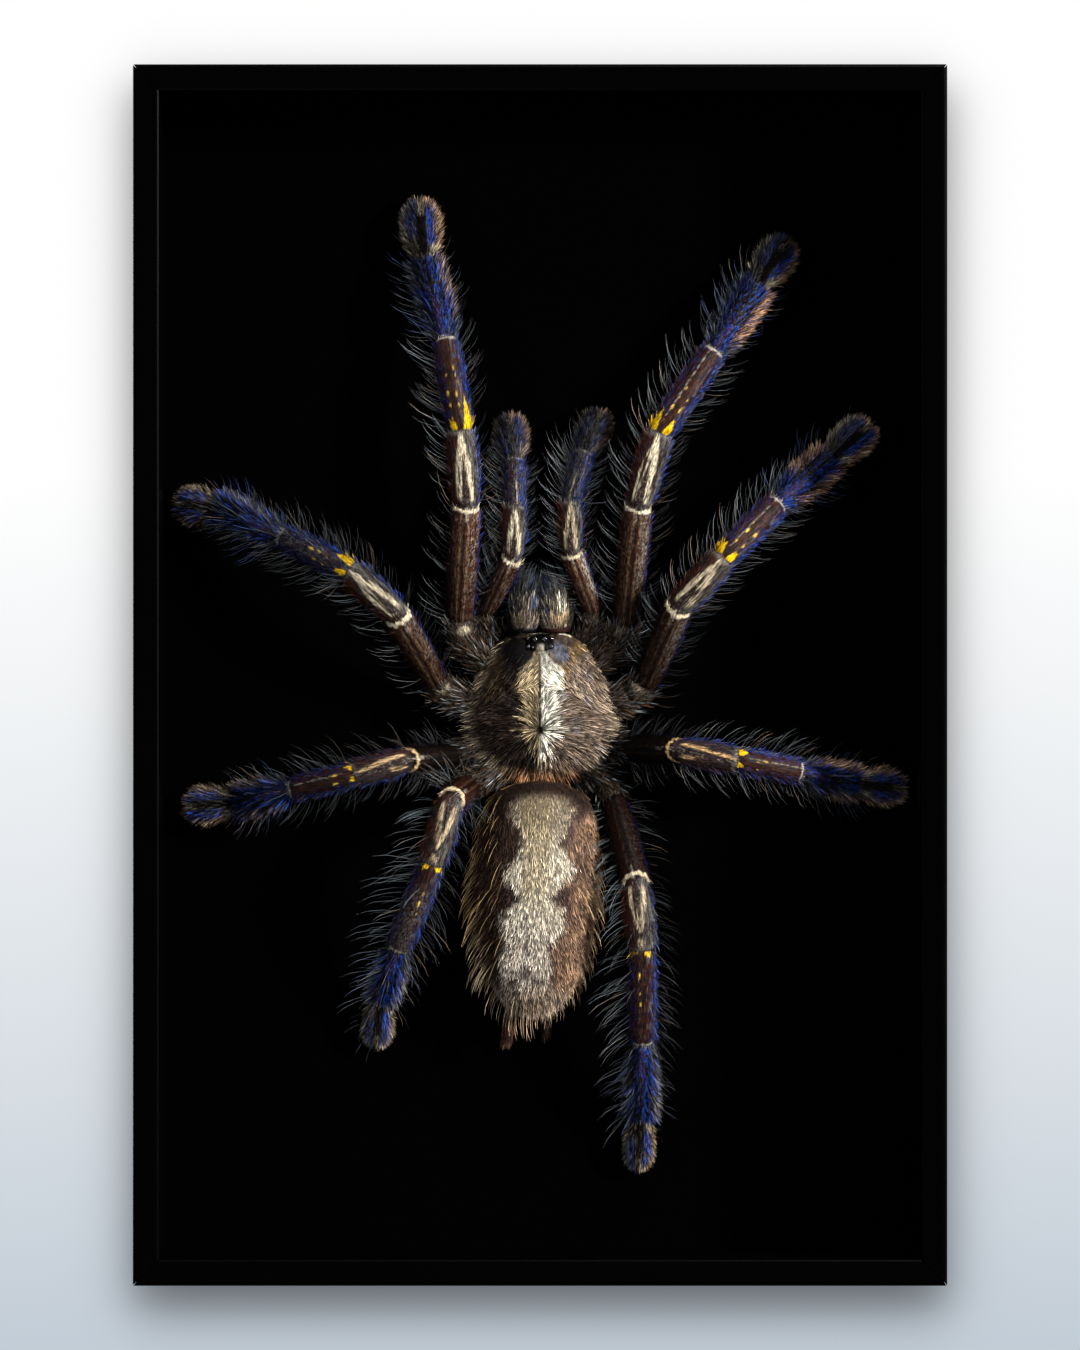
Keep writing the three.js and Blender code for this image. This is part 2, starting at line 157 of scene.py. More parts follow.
# The hair of each part: the down's length and lift; the fringe's density, length and lift; the
# setae's density, length and brightness, and how many more of them stand on the part's back.
PART_HAIR = [
    [1.2, 0.6, 0.0, 2.1, 0.7, 0.3, 2.4, 0.3, 0.0],
    [0.9, 0.5, 0.0, 1.7, 0.7, 0.4, 2.8, 0.4, 0.0],
    [0.45, 0.22, 0.4, 0.9, 0.6, 0.8, 3.3, 0.75, 0.0],
    [0.6, 0.22, 0.4, 1.1, 0.6, 0.9, 3.0, 1.1, 0.02],
    [0.45, 0.24, 0.6, 1.0, 0.6, 1.1, 3.5, 1.1, 0.05],
    [0.75, 0.4, 1.1, 1.65, 0.8, 1.1, 3.1, 1.0, 0.1],
    [0.95, 0.5, 1.0, 1.25, 0.8, 0.25, 1.6, 0.8, 0.0],
]
HIND_PAD_FRINGE = 0.85  # length of the fringe round the pads of the hindmost legs

# The yellow patches at a tibia's base, [place across, half-width, longer on the side of, how
# blunt], and the rows of dots beyond, [place across, places along].
PATCHES = ((0.7, 0.36, "front", 1.0), (-0.45, 0.3, "rear", 0.5))
DOT_ROWS = ((0.16, (0.24, 0.37, 0.5, 0.6)), (-0.48, (0.25, 0.39, 0.52)))

# How each limb's coat departs from the common one. turn swaps its front and rear markings.
# femur, knee_lighting and far are painted light and shade: the brightness of its
# femur, of its patella and of what lies beyond, lower where that part stands in shade. long scales
# its long setae, gold its cream marks. front and rear are the lengths of its yellow patches as
# shares of the tibia, dots the share of its yellow dots that it has, frost_and_sheen the pale
# specks of painted sheen on the lit side of its femur and the grey specks on a hindmost tibia, spot
# the pale spot on its trochanter, glint_highlight the painted highlight along its tibia, and
# lit_rust and rust the peach of its far edges, on the lit and the dark side: the lit side's extra
# peach is painted light.
LOOK = (
    "turn", "femur", "knee_lighting", "far", "long", "gold", "front", "rear",
    "dots", "frost_and_sheen", "spot", "glint_highlight", "lit_rust", "rust",
)
LIMB_LOOKS = {
    "left_leg_1": (1, 0.8, 1.0, 0.95, 1.1, 0.0, 0.36, 0.14, 1.0, 0.0, 1.0, 0.15, 0.42, 0.0),
    "right_leg_1": (1, 0.6, 1.0, 1.0, 1.1, 0.0, 0.22, 0.18, 0.8, 0.7, 0.1, 1.0, 1.25, 0.0),
    "left_leg_2": (1, 0.5, 0.8, 0.6, 1.1, 0.0, 0.24, 0.14, 0.8, 0.2, 0.3, 0.2, 0.1, 0.0),
    "right_leg_2": (1, 0.35, 0.9, 1.0, 1.1, 0.1, 0.18, 0.16, 0.8, 0.8, 0.3, 0.8, 1.2, 1.1),
    "left_leg_3": (1, 0.05, 0.8, 0.7, 1.05, 0.65, 0.1, 0.07, 0.4, 0.0, 0.0, 1.0, 0.35, 0.3),
    "right_leg_3": (1, 0.06, 0.9, 0.95, 1.05, 0.8, 0.12, 0.08, 0.4, 0.0, 0.0, 0.8, 0.9, 0.3),
    "left_leg_4": (-1, 0.25, 0.9, 1.0, 1.3, 0.3, 0.07, 0.05, 0.8, 0.6, 0.0, 0.1, 0.1, 0.05),
    "right_leg_4": (-1, 0.11, 0.8, 1.0, 1.15, 0.2, 0.04, 0.06, 0.8, 0.0, 0.0, 0.1, 0.15, 0.05),
    "left_palp": (1, 0.5, 0.9, 0.7, 0.85, 0.0, 0.0, 0.0, 0.0, 0.0, 0.1, 0.0, 0.35, 0.0),
    "right_palp": (1, 0.95, 0.9, 0.45, 0.9, 0.2, 0.0, 0.0, 0.0, 1.2, 0.1, 0.0, 0.5, 0.0),
}

# ---------- the body ----------

FOVEA = (0.0, -8.2)
CARAPACE_MARGIN = 6.8
CARAPACE_OUTLINE = [  # right side from the front to the rear, [x, z]
    [0.0, 6.4], [3.2, 6.3], [5.2, 5.5], [7.1, 3.4], [8.8, 0.4], [9.9, -3.2],
    [10.3, -7.2], [9.3, -10.6], [6.9, -13.2], [3.6, -14.8], [0.0, -15.2],
]
ABDOMEN_STATIONS = [  # [z, half-width]
    [-15.7, 0.0], [-16.1, 3.6], [-17.6, 6.8], [-21.4, 8.5], [-26.6, 9.1], [-33.6, 8.8],
    [-38.8, 8.2], [-43.8, 7.0], [-48.0, 4.8], [-50.1, 2.5], [-50.6, 0.0],
]
ABDOMEN_FRONT = ABDOMEN_STATIONS[0][0]
ABDOMEN_LEAN = -0.028
ABDOMEN_MID_HEIGHT = 8.0
ABDOMEN_HEIGHT_SHARE = 0.84
FOLIUM = [  # the pale mark on the abdomen: [z, left edge, right edge]
    [-17.2, -3.2, 4.2], [-19.0, -4.2, 4.8], [-20.7, -4.4, 5.0], [-22.4, -3.2, 4.2],
    [-23.9, -2.2, 3.1], [-25.2, -2.2, 3.2], [-26.6, -2.8, 4.2], [-28.7, -4.8, 5.6],
    [-30.2, -4.4, 4.6], [-31.7, -3.3, 3.0], [-33.1, -2.3, 2.6], [-34.6, -4.6, 3.7],
    [-36.6, -5.3, 4.3], [-38.2, -4.9, 3.6], [-40.0, -4.4, 1.8], [-41.6, -4.8, 2.2],
    [-43.2, -5.0, 2.2], [-45.0, -4.9, 2.0], [-47.4, -3.8, 2.0],
]
FOLIUM_SPOTS = [  # [x, z, radius]
    [-3.6, -33.1, 0.6], [3.2, -33.0, 0.6],
    [-1.3, -43.8, 0.7], [-3.2, -45.4, 0.6], [0.6, -45.2, 0.5],
]
CROWN = [  # the carapace's height over its margin: [z, height]
    [6.4, 3.3], [4.5, 4.1], [0.5, 4.9], [-3.5, 4.6], [-8.0, 3.8], [-12.0, 2.9], [-15.2, 2.2],
]
GROOVES = [[0.92, 0.4], [0.42, 0.26], [0.0, 0.26], [-0.5, 0.24], [-1.1, 0.2]]  # [aim, depth]
STRIPE = [  # the pale stripe on the carapace: [z, half-width]
    [4.0, 0.6], [2.6, 1.3], [0.8, 3.0], [-0.5, 3.2], [-3.2, 2.4],
    [-5.2, 2.3], [-6.6, 2.7], [-8.2, 2.5], [-9.6, 1.3], [-12.4, 0.5],
]
EYES = [  # [x, z, radius] on the eye mound
    [-0.72, 5.25, 0.46], [0.72, 5.25, 0.46], [-1.7, 5.35, 0.38], [1.7, 5.35, 0.38],
    [-1.72, 4.2, 0.38], [1.72, 4.2, 0.38], [-1.05, 4.1, 0.26], [1.05, 4.1, 0.26],
]
EYE_MOUND = (0.0, 4.75, 2.0, 1.25, 1.0)  # x, z, half-width, half-length, rise
CHELICERA = dict(base=[2.45, 6.3, 6.7], tip=[2.15, 13.8, 5.7], radii=(2.25, 2.2, 1.4, 1.2))
FANG = dict(base=[2.1, 13.4, 4.2], tip=[1.7, 10.9, 1.7], radii=(0.6, 0.5, 0.2, 1.0))
SPINNERETS = {  # base, tip, radii, brightness
    "left_spinneret": ([-3.8, -47.0, 6.6], [-5.0, -54.8, 6.3], (0.85, 0.8, 0.6, 1.0), 0.85),
    "right_spinneret": ([0.2, -48.0, 6.6], [0.8, -53.4, 6.0], (0.8, 0.7, 0.5, 1.0), 0.2),
}

# ---------- colours ----------


def lin(red, green, blue):
    """A display colour, 0 to 255, as linear light."""
    c = np.array([red, green, blue]) / 255
    return np.where(c <= 0.04045, c / 12.92, ((c + 0.055) / 1.055) ** 2.4)


CREAM = lin(240, 224, 190)
PALE = lin(206, 196, 182)
GOLD = lin(220, 168, 100)
CHESTNUT = lin(86, 44, 29)
UMBER = lin(42, 28, 24)
TAN = lin(176, 140, 102)
PEACH = lin(208, 164, 126)
PLUM = lin(62, 50, 52)
GREY = lin(140, 136, 130)
BLUE = lin(16, 76, 192)
DEEP_BLUE = lin(12, 32, 76)
YELLOW = lin(255, 206, 20)
SETA = lin(112, 120, 124)
OLIVE = lin(128, 108, 76)
RUST = lin(176, 112, 66)

# ---------- small tools for masks ----------


def ramp(low, high, x):
    """From 0 at low to 1 at high, smoothly. It falls where low is above high."""
    t = np.clip((x - low) / (high - low), 0, 1)
    return t * t * (3 - 2 * t)


def bump(x, centre, width, soft):
    """1 within width of the centre, and 0 soft further out."""
    return 1 - ramp(width, width + soft, np.abs(x - centre))


def coat_of(colour, places):
    """An array of one colour, with a row for each of places."""
    return np.tile(colour, (len(places), 1))


def paint(base, colour, mask):
    """Lays a colour over base, an array of colours, where mask is 1."""
    base += (np.asarray(colour) - base) * np.clip(mask, 0, 1)[:, None]


def noise(x, y, seed):
    """Smooth value noise with a grain of 1, from 0 to 1."""
    xi, yi = np.floor(x), np.floor(y)
    fx, fy = x - xi, y - yi
    fx, fy = fx * fx * (3 - 2 * fx), fy * fy * (3 - 2 * fy)

    def lattice(a, b):
        v = np.sin(a * 127.1 + b * 311.7 + seed * 74.7) * 43758.5453
        return v - np.floor(v)

    top = lattice(xi, yi) * (1 - fx) + lattice(xi + 1, yi) * fx
    low = lattice(xi, yi + 1) * (1 - fx) + lattice(xi + 1, yi + 1) * fx
    return top * (1 - fy) + low * fy


def at_z(z, table, column=1):
    """A column of table at each z. The table's first column is z, and falls."""
    table = np.array(table)
    return np.interp(-z, -table[:, 0], table[:, column])


def bell(reach, width):
    """A smoothing kernel of 2 * reach + 1 weights."""
    kernel = np.exp(-0.5 * (np.arange(-reach, reach + 1) / width) ** 2)
    return kernel / kernel.sum()


# ---------- meshes ----------


def to_row(places):
    """Places on the animal, an array that ends in [x, z, height], as metres in the row frame."""
    p = np.asarray(places, float) * MM
    return np.stack([p[..., 0], BOARD_FACE_Y - p[..., 2], CENTRE_Z + p[..., 1]], -1)


def tube_faces(rings, around):
    """Faces of a tube of rings with a pole vertex at each end, the poles last."""
    faces = []
    for i in range(rings - 1):
        for j in range(around):
            k = (j + 1) % around
            a, b = i * around, (i + 1) * around
            faces.append((a + j, a + k, b + k, b + j))
    first, last = rings * around, rings * around + 1
    top = (rings - 1) * around
    for j in range(around):
        k = (j + 1) % around
        faces.append((first, k, j))
        faces.append((last, top + j, top + k))
    return faces


def signed_volume(verts, faces):
    """Six times the volume inside faces, below 0 where they are turned in."""
    total = 0.0
    for size in {len(f) for f in faces}:
        f = np.array([x for x in faces if len(x) == size])
        for i in range(1, size - 1):
            a, b, c = verts[f[:, 0]], verts[f[:, i]], verts[f[:, i + 1]]
            total += np.einsum("ij,ij->i", a, np.cross(b, c)).sum()
    return total


def new_object(name, data):
    """An object in the scene for a mesh, a light or a camera."""
    made = bpy.data.objects.new(name, data)
    bpy.context.scene.collection.objects.link(made)
    return made


def new_piece(name, verts, faces, smooth=True):
    """A mesh object, its faces turned to point out."""
    if signed_volume(verts - verts.mean(0), faces) < 0:
        faces = [tuple(reversed(f)) for f in faces]
    mesh = bpy.data.meshes.new(name)
    mesh.from_pydata(verts.tolist(), [], faces)
    mesh.shade_smooth() if smooth else mesh.shade_flat()
    mesh.validate()
    return new_object(name, mesh)


def piece_from(shape, name):
    """A mesh object from a bmesh, which is freed."""
    mesh = bpy.data.meshes.new(name)
    shape.to_mesh(mesh)
    shape.free()
    return new_object(name, mesh)


def give(made, name, values):
    """Stores one number, vector or colour for each vertex. A single number goes to all."""
    values = np.asarray(values, np.float32)
    if values.ndim == 0:
        values = np.full(len(made.data.vertices), values)
    if values.ndim == 1:
        kind, key = "FLOAT", "value"
    elif name.endswith("tint") or name == "coat":
        kind, key = "FLOAT_COLOR", "color"
        values = np.concatenate([values, np.ones((len(values), 1), np.float32)], 1)
    else:
        kind, key = "FLOAT_VECTOR", "vector"
    made.data.attributes.new(name, kind, "POINT").data.foreach_set(key, values.ravel())


def finish_piece(made, material, slot, *nodes):
    """Hands a finished piece to the frame, in place of the solids that it dresses."""
    made.data.materials.clear()
    made.data.materials.append(material)
    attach(made, "root")
    if nodes:
        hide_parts(*nodes)
    return made


# ---------- node trees ----------


class Net:
    """Adds nodes to a tree: links what is a socket and sets what is a value."""

    def __init__(self, tree):
        self.tree = tree

    def add(self, kind, inputs=(), **settings):
        node = self.tree.nodes.new(kind)
        for key, value in settings.items():
            setattr(node, key, value)
        for key, value in dict(inputs).items():
            self.feed(self.socket(node, key), value)
        return node

    @staticmethod
    def socket(node, key):
        if isinstance(key, int):
            return [s for s in node.inputs if s.enabled][key]
        return next(s for s in node.inputs if s.enabled and s.name == key)

    def feed(self, socket, value):
        if isinstance(value, bpy.types.NodeSocket):
            self.tree.links.new(value, socket)
        elif isinstance(value, bpy.types.Node):
            self.tree.links.new(next(s for s in value.outputs if s.enabled), socket)
        else:
            socket.default_value = value

    def math(self, operation, *values, **settings):
        return self.add("ShaderNodeMath", enumerate(values), operation=operation, **settings)

    def vector(self, operation, inputs):
        return self.add("ShaderNodeVectorMath", inputs, operation=operation)

    def noise(self, scale, detail, vector=None):
        """A noise texture's factor, in the object's own coordinates unless a vector is given."""
        if vector is None:
            vector = self.add("ShaderNodeTexCoord").outputs["Object"]
        inputs = {"Vector": vector, "Scale": scale, "Detail": detail}
        return self.add("ShaderNodeTexNoise", inputs).outputs["Fac"]

    def span(self, value, low, high, start=0.0, end=1.0):
        """value, which runs from start to end, made to run from low to high."""
        inputs = {"Value": value, "From Min": start, "From Max": end, "To Min": low, "To Max": high}
        return self.add("ShaderNodeMapRange", inputs)

    def relief(self, strength, depth, height):
        inputs = {"Strength": strength, "Distance": depth, "Height": height}
        return self.add("ShaderNodeBump", inputs)


LAYERS = {  # hairs a square millimetre, stray, spread of length, and lowest and highest luck
    "down": (16.0, 0.24, 0.4, (0.0, 1.0)),
    "fringe": (12.0, 0.26, 0.4, (0.0, 1.0)),
    "setae": (3.2, 0.11, 0.45, (0.3, 0.72)),
}
LAYER_INPUTS = {"shape": "Object", "per m2": "Float", "stray": "Float", "length spread": "Float"}
SETAE_APART = 0.27  # millimetres at least between the roots of two long setae
SETAE_MOST = 4.0  # the highest density of setae on any vertex
HAIR_SHAPES = {  # for a hair one unit long, from root to tip: [height, sideways, half-thickness]
    "long": [[-0.02, 0, 0.0085], [0.36, 0.04, 0.008], [0.7, 0.15, 0.0065], [0.95, 0.3, 0]],
    "down": [[-0.06, 0, 0.055], [1, 0, 0]],
    "fringe": [[-0.04, 0, 0.033], [0.5, 0.05, 0.029], [0.98, 0.15, 0]],
    "setae": [[-0.02, 0, 0.0054], [0.36, 0.03, 0.005], [0.7, 0.12, 0.004], [0.96, 0.27, 0]],
}
SHOWN_ATTRIBUTES = {"tint", "luck", "along", "side", "start", "position", "sharp_face"}


def coat_tree():
    """Geometry nodes that grow the layers of hair on a skin that carries, for each layer, its
    density, length, lift off the skin and tint, and the direction in which all hair lies."""
    tree = bpy.data.node_groups.new("Coat of setae", "GeometryNodeTree")
    inputs = {"Skin": "Geometry"}
    for layer in LAYERS:
        inputs.update({f"{layer} {name}": kind for name, kind in LAYER_INPUTS.items()})
    inputs.update({"Seed": "Int", "Material": "Material"})
    for name, kind in inputs.items():
        tree.interface.new_socket(name, in_out="INPUT", socket_type=f"NodeSocket{kind}")
    tree.interface.new_socket("Coat", in_out="OUTPUT", socket_type="NodeSocketGeometry")
    net = Net(tree)
    given = net.add("NodeGroupInput").outputs
    joined = net.add("GeometryNodeJoinGeometry")
    for number, layer in enumerate(LAYERS):
        tree.links.new(coat_layer(net, given, layer, number), joined.inputs[0])
    real = net.add("GeometryNodeRealizeInstances", {"Geometry": joined})
    dressed = net.add("GeometryNodeSetMaterial", {"Geometry": real, "Material": given["Material"]})
    net.add("NodeGroupOutput", {"Coat": dressed})
    return tree


def coat_layer(net, given, layer, number):
    """One layer of coat_tree, as instances."""

    def stored(name, kind="FLOAT"):
        return net.add("GeometryNodeInputNamedAttribute", {"Name": name}, data_type=kind)

    def random(low, high, offset, kind="FLOAT"):
        seed = net.math("ADD", given["Seed"], 10 * number + offset)
        inputs = {"Min": low, "Max": high, "Seed": seed}
        return net.add("FunctionNodeRandomValue", inputs, data_type=kind)

    def scaled(vector, factor):
        return net.vector("SCALE", {"Vector": vector, "Scale": factor})

    density, per_m2 = stored(f"{layer}_density"), given[f"{layer} per m2"]
    if layer == "setae":
        method, sockets = "POISSON", {
            "Distance Min": SETAE_APART * MM,
            "Density Max": net.math("MULTIPLY", per_m2, SETAE_MOST),
            "Density Factor": net.math("DIVIDE", density, SETAE_MOST),
        }
    else:
        method, sockets = "RANDOM", {"Density": net.math("MULTIPLY", density, per_m2)}
    sockets.update({"Mesh": given["Skin"], "Seed": net.math("ADD", given["Seed"], 10 * number)})
    roots = net.add("GeometryNodeDistributePointsOnFaces", sockets, distribute_method=method)
    points = roots.outputs["Points"]
    for name, kind, value in (
        ("tint", "FLOAT_COLOR", stored(f"{layer}_tint", "FLOAT_COLOR")),
        ("luck", "FLOAT", random(*LAYERS[layer][-1], 1)),
    ):
        inputs = {"Geometry": points, "Name": name, "Value": value}
        points = net.add("GeometryNodeStoreNamedAttribute", inputs, data_type=kind, domain="POINT")
    lift, flow = stored(f"{layer}_lift"), stored("flow", "FLOAT_VECTOR")
    along = scaled(flow, net.math("COSINE", lift))
    outward = scaled(roots.outputs["Normal"], net.math("SINE", lift))
    any_way = random((-1, -1, -1), (1, 1, 1), 2, "FLOAT_VECTOR")
    stray = scaled(any_way, given[f"{layer} stray"])
    aim = net.vector("ADD", enumerate([net.vector("ADD", enumerate([along, outward])), stray]))
    turned = net.add("FunctionNodeAlignRotationToVector", {"Vector": aim}, axis="Z")
    turned = net.add(
        "FunctionNodeAlignRotationToVector",
        {"Rotation": turned, "Vector": flow},
        axis="X",
        pivot_axis="Z",
    )
    spread = given[f"{layer} length spread"]
    luck = random(net.math("SUBTRACT", 1.0, spread), net.math("ADD", 1.0, spread), 3)
    length = net.math("MULTIPLY", stored(f"{layer}_length"), luck)
    shape = net.add("GeometryNodeObjectInfo", {"Object": given[f"{layer} shape"]})
    inputs = {
        "Points": points,
        "Instance": shape.outputs["Geometry"],
        "Rotation": turned,
        "Scale": net.add("ShaderNodeCombineXYZ", enumerate([length] * 3)),
    }
    return net.add("GeometryNodeInstanceOnPoints", inputs).outputs["Instances"]


def hair_shape(name, stations):
    """A closed three-sided hair one unit long. stations: [height, sideways, half-thickness]."""
    verts, along, side = [], [], []
    for z, x, r in stations[:-1]:
        for k in range(3):
            angle = 2 * math.pi * k / 3
            verts.append((x + r * math.cos(angle), r * math.sin(angle), z))
            along.append(max(z, 0))
            side.append(k / 2)
    tip_z, tip_x, _ = stations[-1]
    verts.append((tip_x, 0, tip_z))
    along.append(1)
    side.append(0.5)
    faces = [(0, 2, 1)]
    for i in range(len(stations) - 2):
        for k in range(3):
            m = (k + 1) % 3
            faces.append((3 * i + k, 3 * i + m, 3 * i + 3 + m, 3 * i + 3 + k))
    top = 3 * (len(stations) - 2)
    faces += [(top + k, top + (k + 1) % 3, len(verts) - 1) for k in range(3)]
    made = new_piece(name, np.array(verts), faces, smooth=False)
    give(made, "along", along)
    give(made, "side", side)
    give(made, "start", [1.0] + [0.0] * (len(verts) - 1))
    return made


def grow_coat(skin, name, seed, kit, slot):
    """The hair of a skin, as one piece that is a plain mesh."""
    modifier = skin.modifiers.new("Coat", "NODES")
    modifier.node_group = kit["tree"]
    settings = {"Seed": seed, "Material": kit["material"]}
    for layer, (per_mm2, stray, spread, _) in LAYERS.items():
        settings[f"{layer} shape"] = kit["shapes"][layer]
        settings[f"{layer} per m2"] = per_mm2 * 1e6 * kit["share"]
        settings[f"{layer} stray"] = stray
        settings[f"{layer} length spread"] = spread
    for item in kit["tree"].interface.items_tree:
        if item.in_out == "INPUT" and item.name in settings:
            modifier[item.identifier] = settings[item.name]
    graph = bpy.context.evaluated_depsgraph_get()
    mesh = bpy.data.meshes.new_from_object(skin.evaluated_get(graph))
    skin.modifiers.remove(modifier)
    mesh.name = name
    for attribute in list(mesh.attributes):
        if attribute.name not in SHOWN_ATTRIBUTES and not attribute.name.startswith("."):
            if not attribute.is_required:
                mesh.attributes.remove(attribute)
    map_hairs(mesh)
    return finish_piece(new_object(name, mesh), kit["material"], slot)


def map_hairs(mesh):
    """A UV map with a small cell for each hair, its length along the cell."""
    count = len(mesh.vertices)
    read = {}
    for name in ("start", "side", "along"):
        read[name] = np.empty(count, np.float32)
        mesh.attributes[name].data.foreach_get("value", read[name])
    hair = np.cumsum(read["start"] > 0.5) - 1
    cells = max(1, math.ceil(math.sqrt(hair.max() + 1)))
    u = (hair % cells + 0.15 + 0.7 * read["side"]) / cells
    v = (hair // cells + 0.1 + 0.8 * read["along"]) / cells
    corner = np.empty(len(mesh.loops), np.int32)
    mesh.loops.foreach_get("vertex_index", corner)
    layer = mesh.uv_layers.new(name="OFBake")
    layer.data.foreach_set("uv", np.stack([u[corner], v[corner]], 1).astype(np.float32).ravel())
    for name in ("start", "side"):
        mesh.attributes.remove(mesh.attributes[name])


# ---------- materials ----------


def new_material(name, roughness, specular=0.5, metallic=0.0, colour=None):
    """A material, the inputs of its shader, and its net."""
    made = bpy.data.materials.new(name)
    made.use_nodes = True
    inputs = made.node_tree.nodes["Principled BSDF"].inputs
    inputs["Roughness"].default_value = roughness
    inputs["Specular IOR Level"].default_value = specular
    inputs["Metallic"].default_value = metallic
    if colour:
        inputs["Base Color"].default_value = (*colour, 1)
    return made, inputs, Net(made.node_tree)


def hair_material():
    """Hair of its own tint, varied by its luck and darker towards its root: painted shade deep in
    the coat.
    """
    made, inputs, net = new_material("setae", 0.45, 0.07)

    def read(name, output="Fac"):
        return net.add("ShaderNodeAttribute", attribute_name=name).outputs[output]

    luck = net.span(net.math("POWER", read("luck"), 1.8), 0.14, 2.5)
    factor = net.math("MULTIPLY", luck, net.span(read("along"), 0.16, 1.3))
    toned = net.vector("SCALE", {"Vector": read("tint", "Color"), "Scale": factor})
    net.feed(inputs["Base Color"], toned)
    return made


def skin_material():
    """Chitin under fine streaks of hair, coloured by the skin's own coat attribute."""
    made, inputs, net = new_material("chitin", 0.5, 0.06)
    coat = net.add("ShaderNodeAttribute", attribute_name="coat").outputs["Color"]
    lay = net.add("ShaderNodeAttribute", attribute_name="lay").outputs["Vector"]
    streaks = net.noise(1.0, 3.0, lay)
    factor = net.span(streaks, 0.1, 1.0, 0.32, 0.68)
    net.feed(inputs["Base Color"], net.vector("SCALE", {"Vector": coat, "Scale": factor}))
    net.feed(inputs["Normal"], net.relief(0.5, 0.1 * MM, streaks))
    return made


def plain_materials():
    """The materials of the frame, the eyes and the fangs."""
    made, black = {}, (0.0004, 0.0004, 0.0004)
    made["lacquer"], inputs, net = new_material("black lacquer", 0.3, 0.012, colour=black)
    net.feed(inputs["Roughness"], net.span(net.noise(260.0, 4.0), 0.24, 0.36))

    made["velvet"], inputs, net = new_material("black velvet", 1.0, 0.0, colour=black)
    net.feed(inputs["Normal"], net.relief(0.4, 0.1 * MM, net.noise(2400.0, 2.0)))

    made["hardboard"], inputs, net = new_material("hardboard", 0.78, 0.25)
    fibre, cloud = net.noise(1300.0, 6.0), net.noise(28.0, 3.0)
    both = net.math("ADD", net.math("MULTIPLY", fibre, 0.6), net.math("MULTIPLY", cloud, 0.4))
    colour = net.add("ShaderNodeValToRGB", {"Fac": both})
    dark, light = colour.color_ramp.elements
    dark.position, dark.color = 0.3, (*lin(92, 66, 47), 1)
    light.position, light.color = 0.74, (*lin(136, 103, 76), 1)
    net.feed(inputs["Base Color"], colour.outputs["Color"])
    net.feed(inputs["Normal"], net.relief(0.35, 0.15 * MM, fibre))

    made["steel"], inputs, net = new_material("bright steel", 0.42, 0.5, 1.0, (0.78, 0.78, 0.8))
    place = net.add("ShaderNodeTexCoord").outputs["Object"]
    drawn = net.vector("MULTIPLY", enumerate([place, (900.0, 900.0, 60.0)]))
    net.feed(inputs["Roughness"], net.span(net.noise(1.0, 2.0, drawn), 0.34, 0.56))

    made["eye"], *_ = new_material("eye", 0.12, 1.0, colour=(0.001, 0.001, 0.001))
    made["fang"], *_ = new_material("fang", 0.22, 0.6, colour=(0.01, 0.006, 0.005))
    return made


# ---------- limbs ----------

STEP = 0.2  # millimetres between the rings of a limb
AROUND = 56
CROWDING = 0.4  # how much closer together a ring's vertices stand on top of the limb
SMOOTHING = (6, 2.4)  # reach and width, in rings, of the smoothing of a limb's middle line


def limb_line(joints, parts):
    """The limb's middle line: its places, and for each the part, the share of that part gone by,
    and the part's length."""
    joints = np.array(joints, float)
    rows, part, share, length = [], [], [], []
    for i, kind in enumerate(parts):
        a, b = joints[i], joints[i + 1]
        size = np.linalg.norm(b - a)
        steps = max(4, math.ceil(size / STEP))
        t = np.arange(steps) / steps
        rise = BOW * np.sin(np.pi * t) * (size / BOW_LENGTH)
        rows.append(a + (b - a) * t[:, None] + np.stack([0 * t, 0 * t, rise], 1))
        part += [kind] * steps
        share += t.tolist()
        length += [size] * steps
    line = np.concatenate([*rows, joints[-1:]])
    part, share, length = part + [parts[-1]], share + [1.0], length + [length[-1]]
    reach, kernel = SMOOTHING[0], bell(*SMOOTHING)
    before, after = 2 * line[0] - line[reach:0:-1], 2 * line[-1] - line[-2 : -reach - 2 : -1]
    ends = np.concatenate([before, line, after])
    smooth = np.stack([np.convolve(ends[:, k], kernel, "valid") for k in range(3)], 1)
    return smooth, np.array(part), np.array(share), np.array(length)


def limb_radii(part, share, length, shape, width):
    """The skin's half-width and flatness at each place of the line."""
    shapes = np.array([shape.get(kind, (0, 0, 0, 0)) for kind in LEG_PARTS], float)
    start, middle, end, flat = shapes[part].T
    arc = 1 - (2 * share - 1) ** 2
    radius = (start * (1 - share) + end * share) + (middle - (start + end) / 2) * arc
    near = np.minimum(share, 1 - share) * length
    tip = (part == part[-1]) & (share > 0.5)
    notch = np.where(tip, 0, np.exp(-((near / JOINT_REACH) ** 2)))
    radius = radius * width * (1 - JOINT_NOTCH * notch)
    rounded = np.clip((1 - share) * length / (radius * 1.15), 0, 1)
    radius = np.where(tip, radius * np.sqrt(np.maximum(1 - (1 - rounded) ** 2, 0.01)), radius)
    return radius, flat


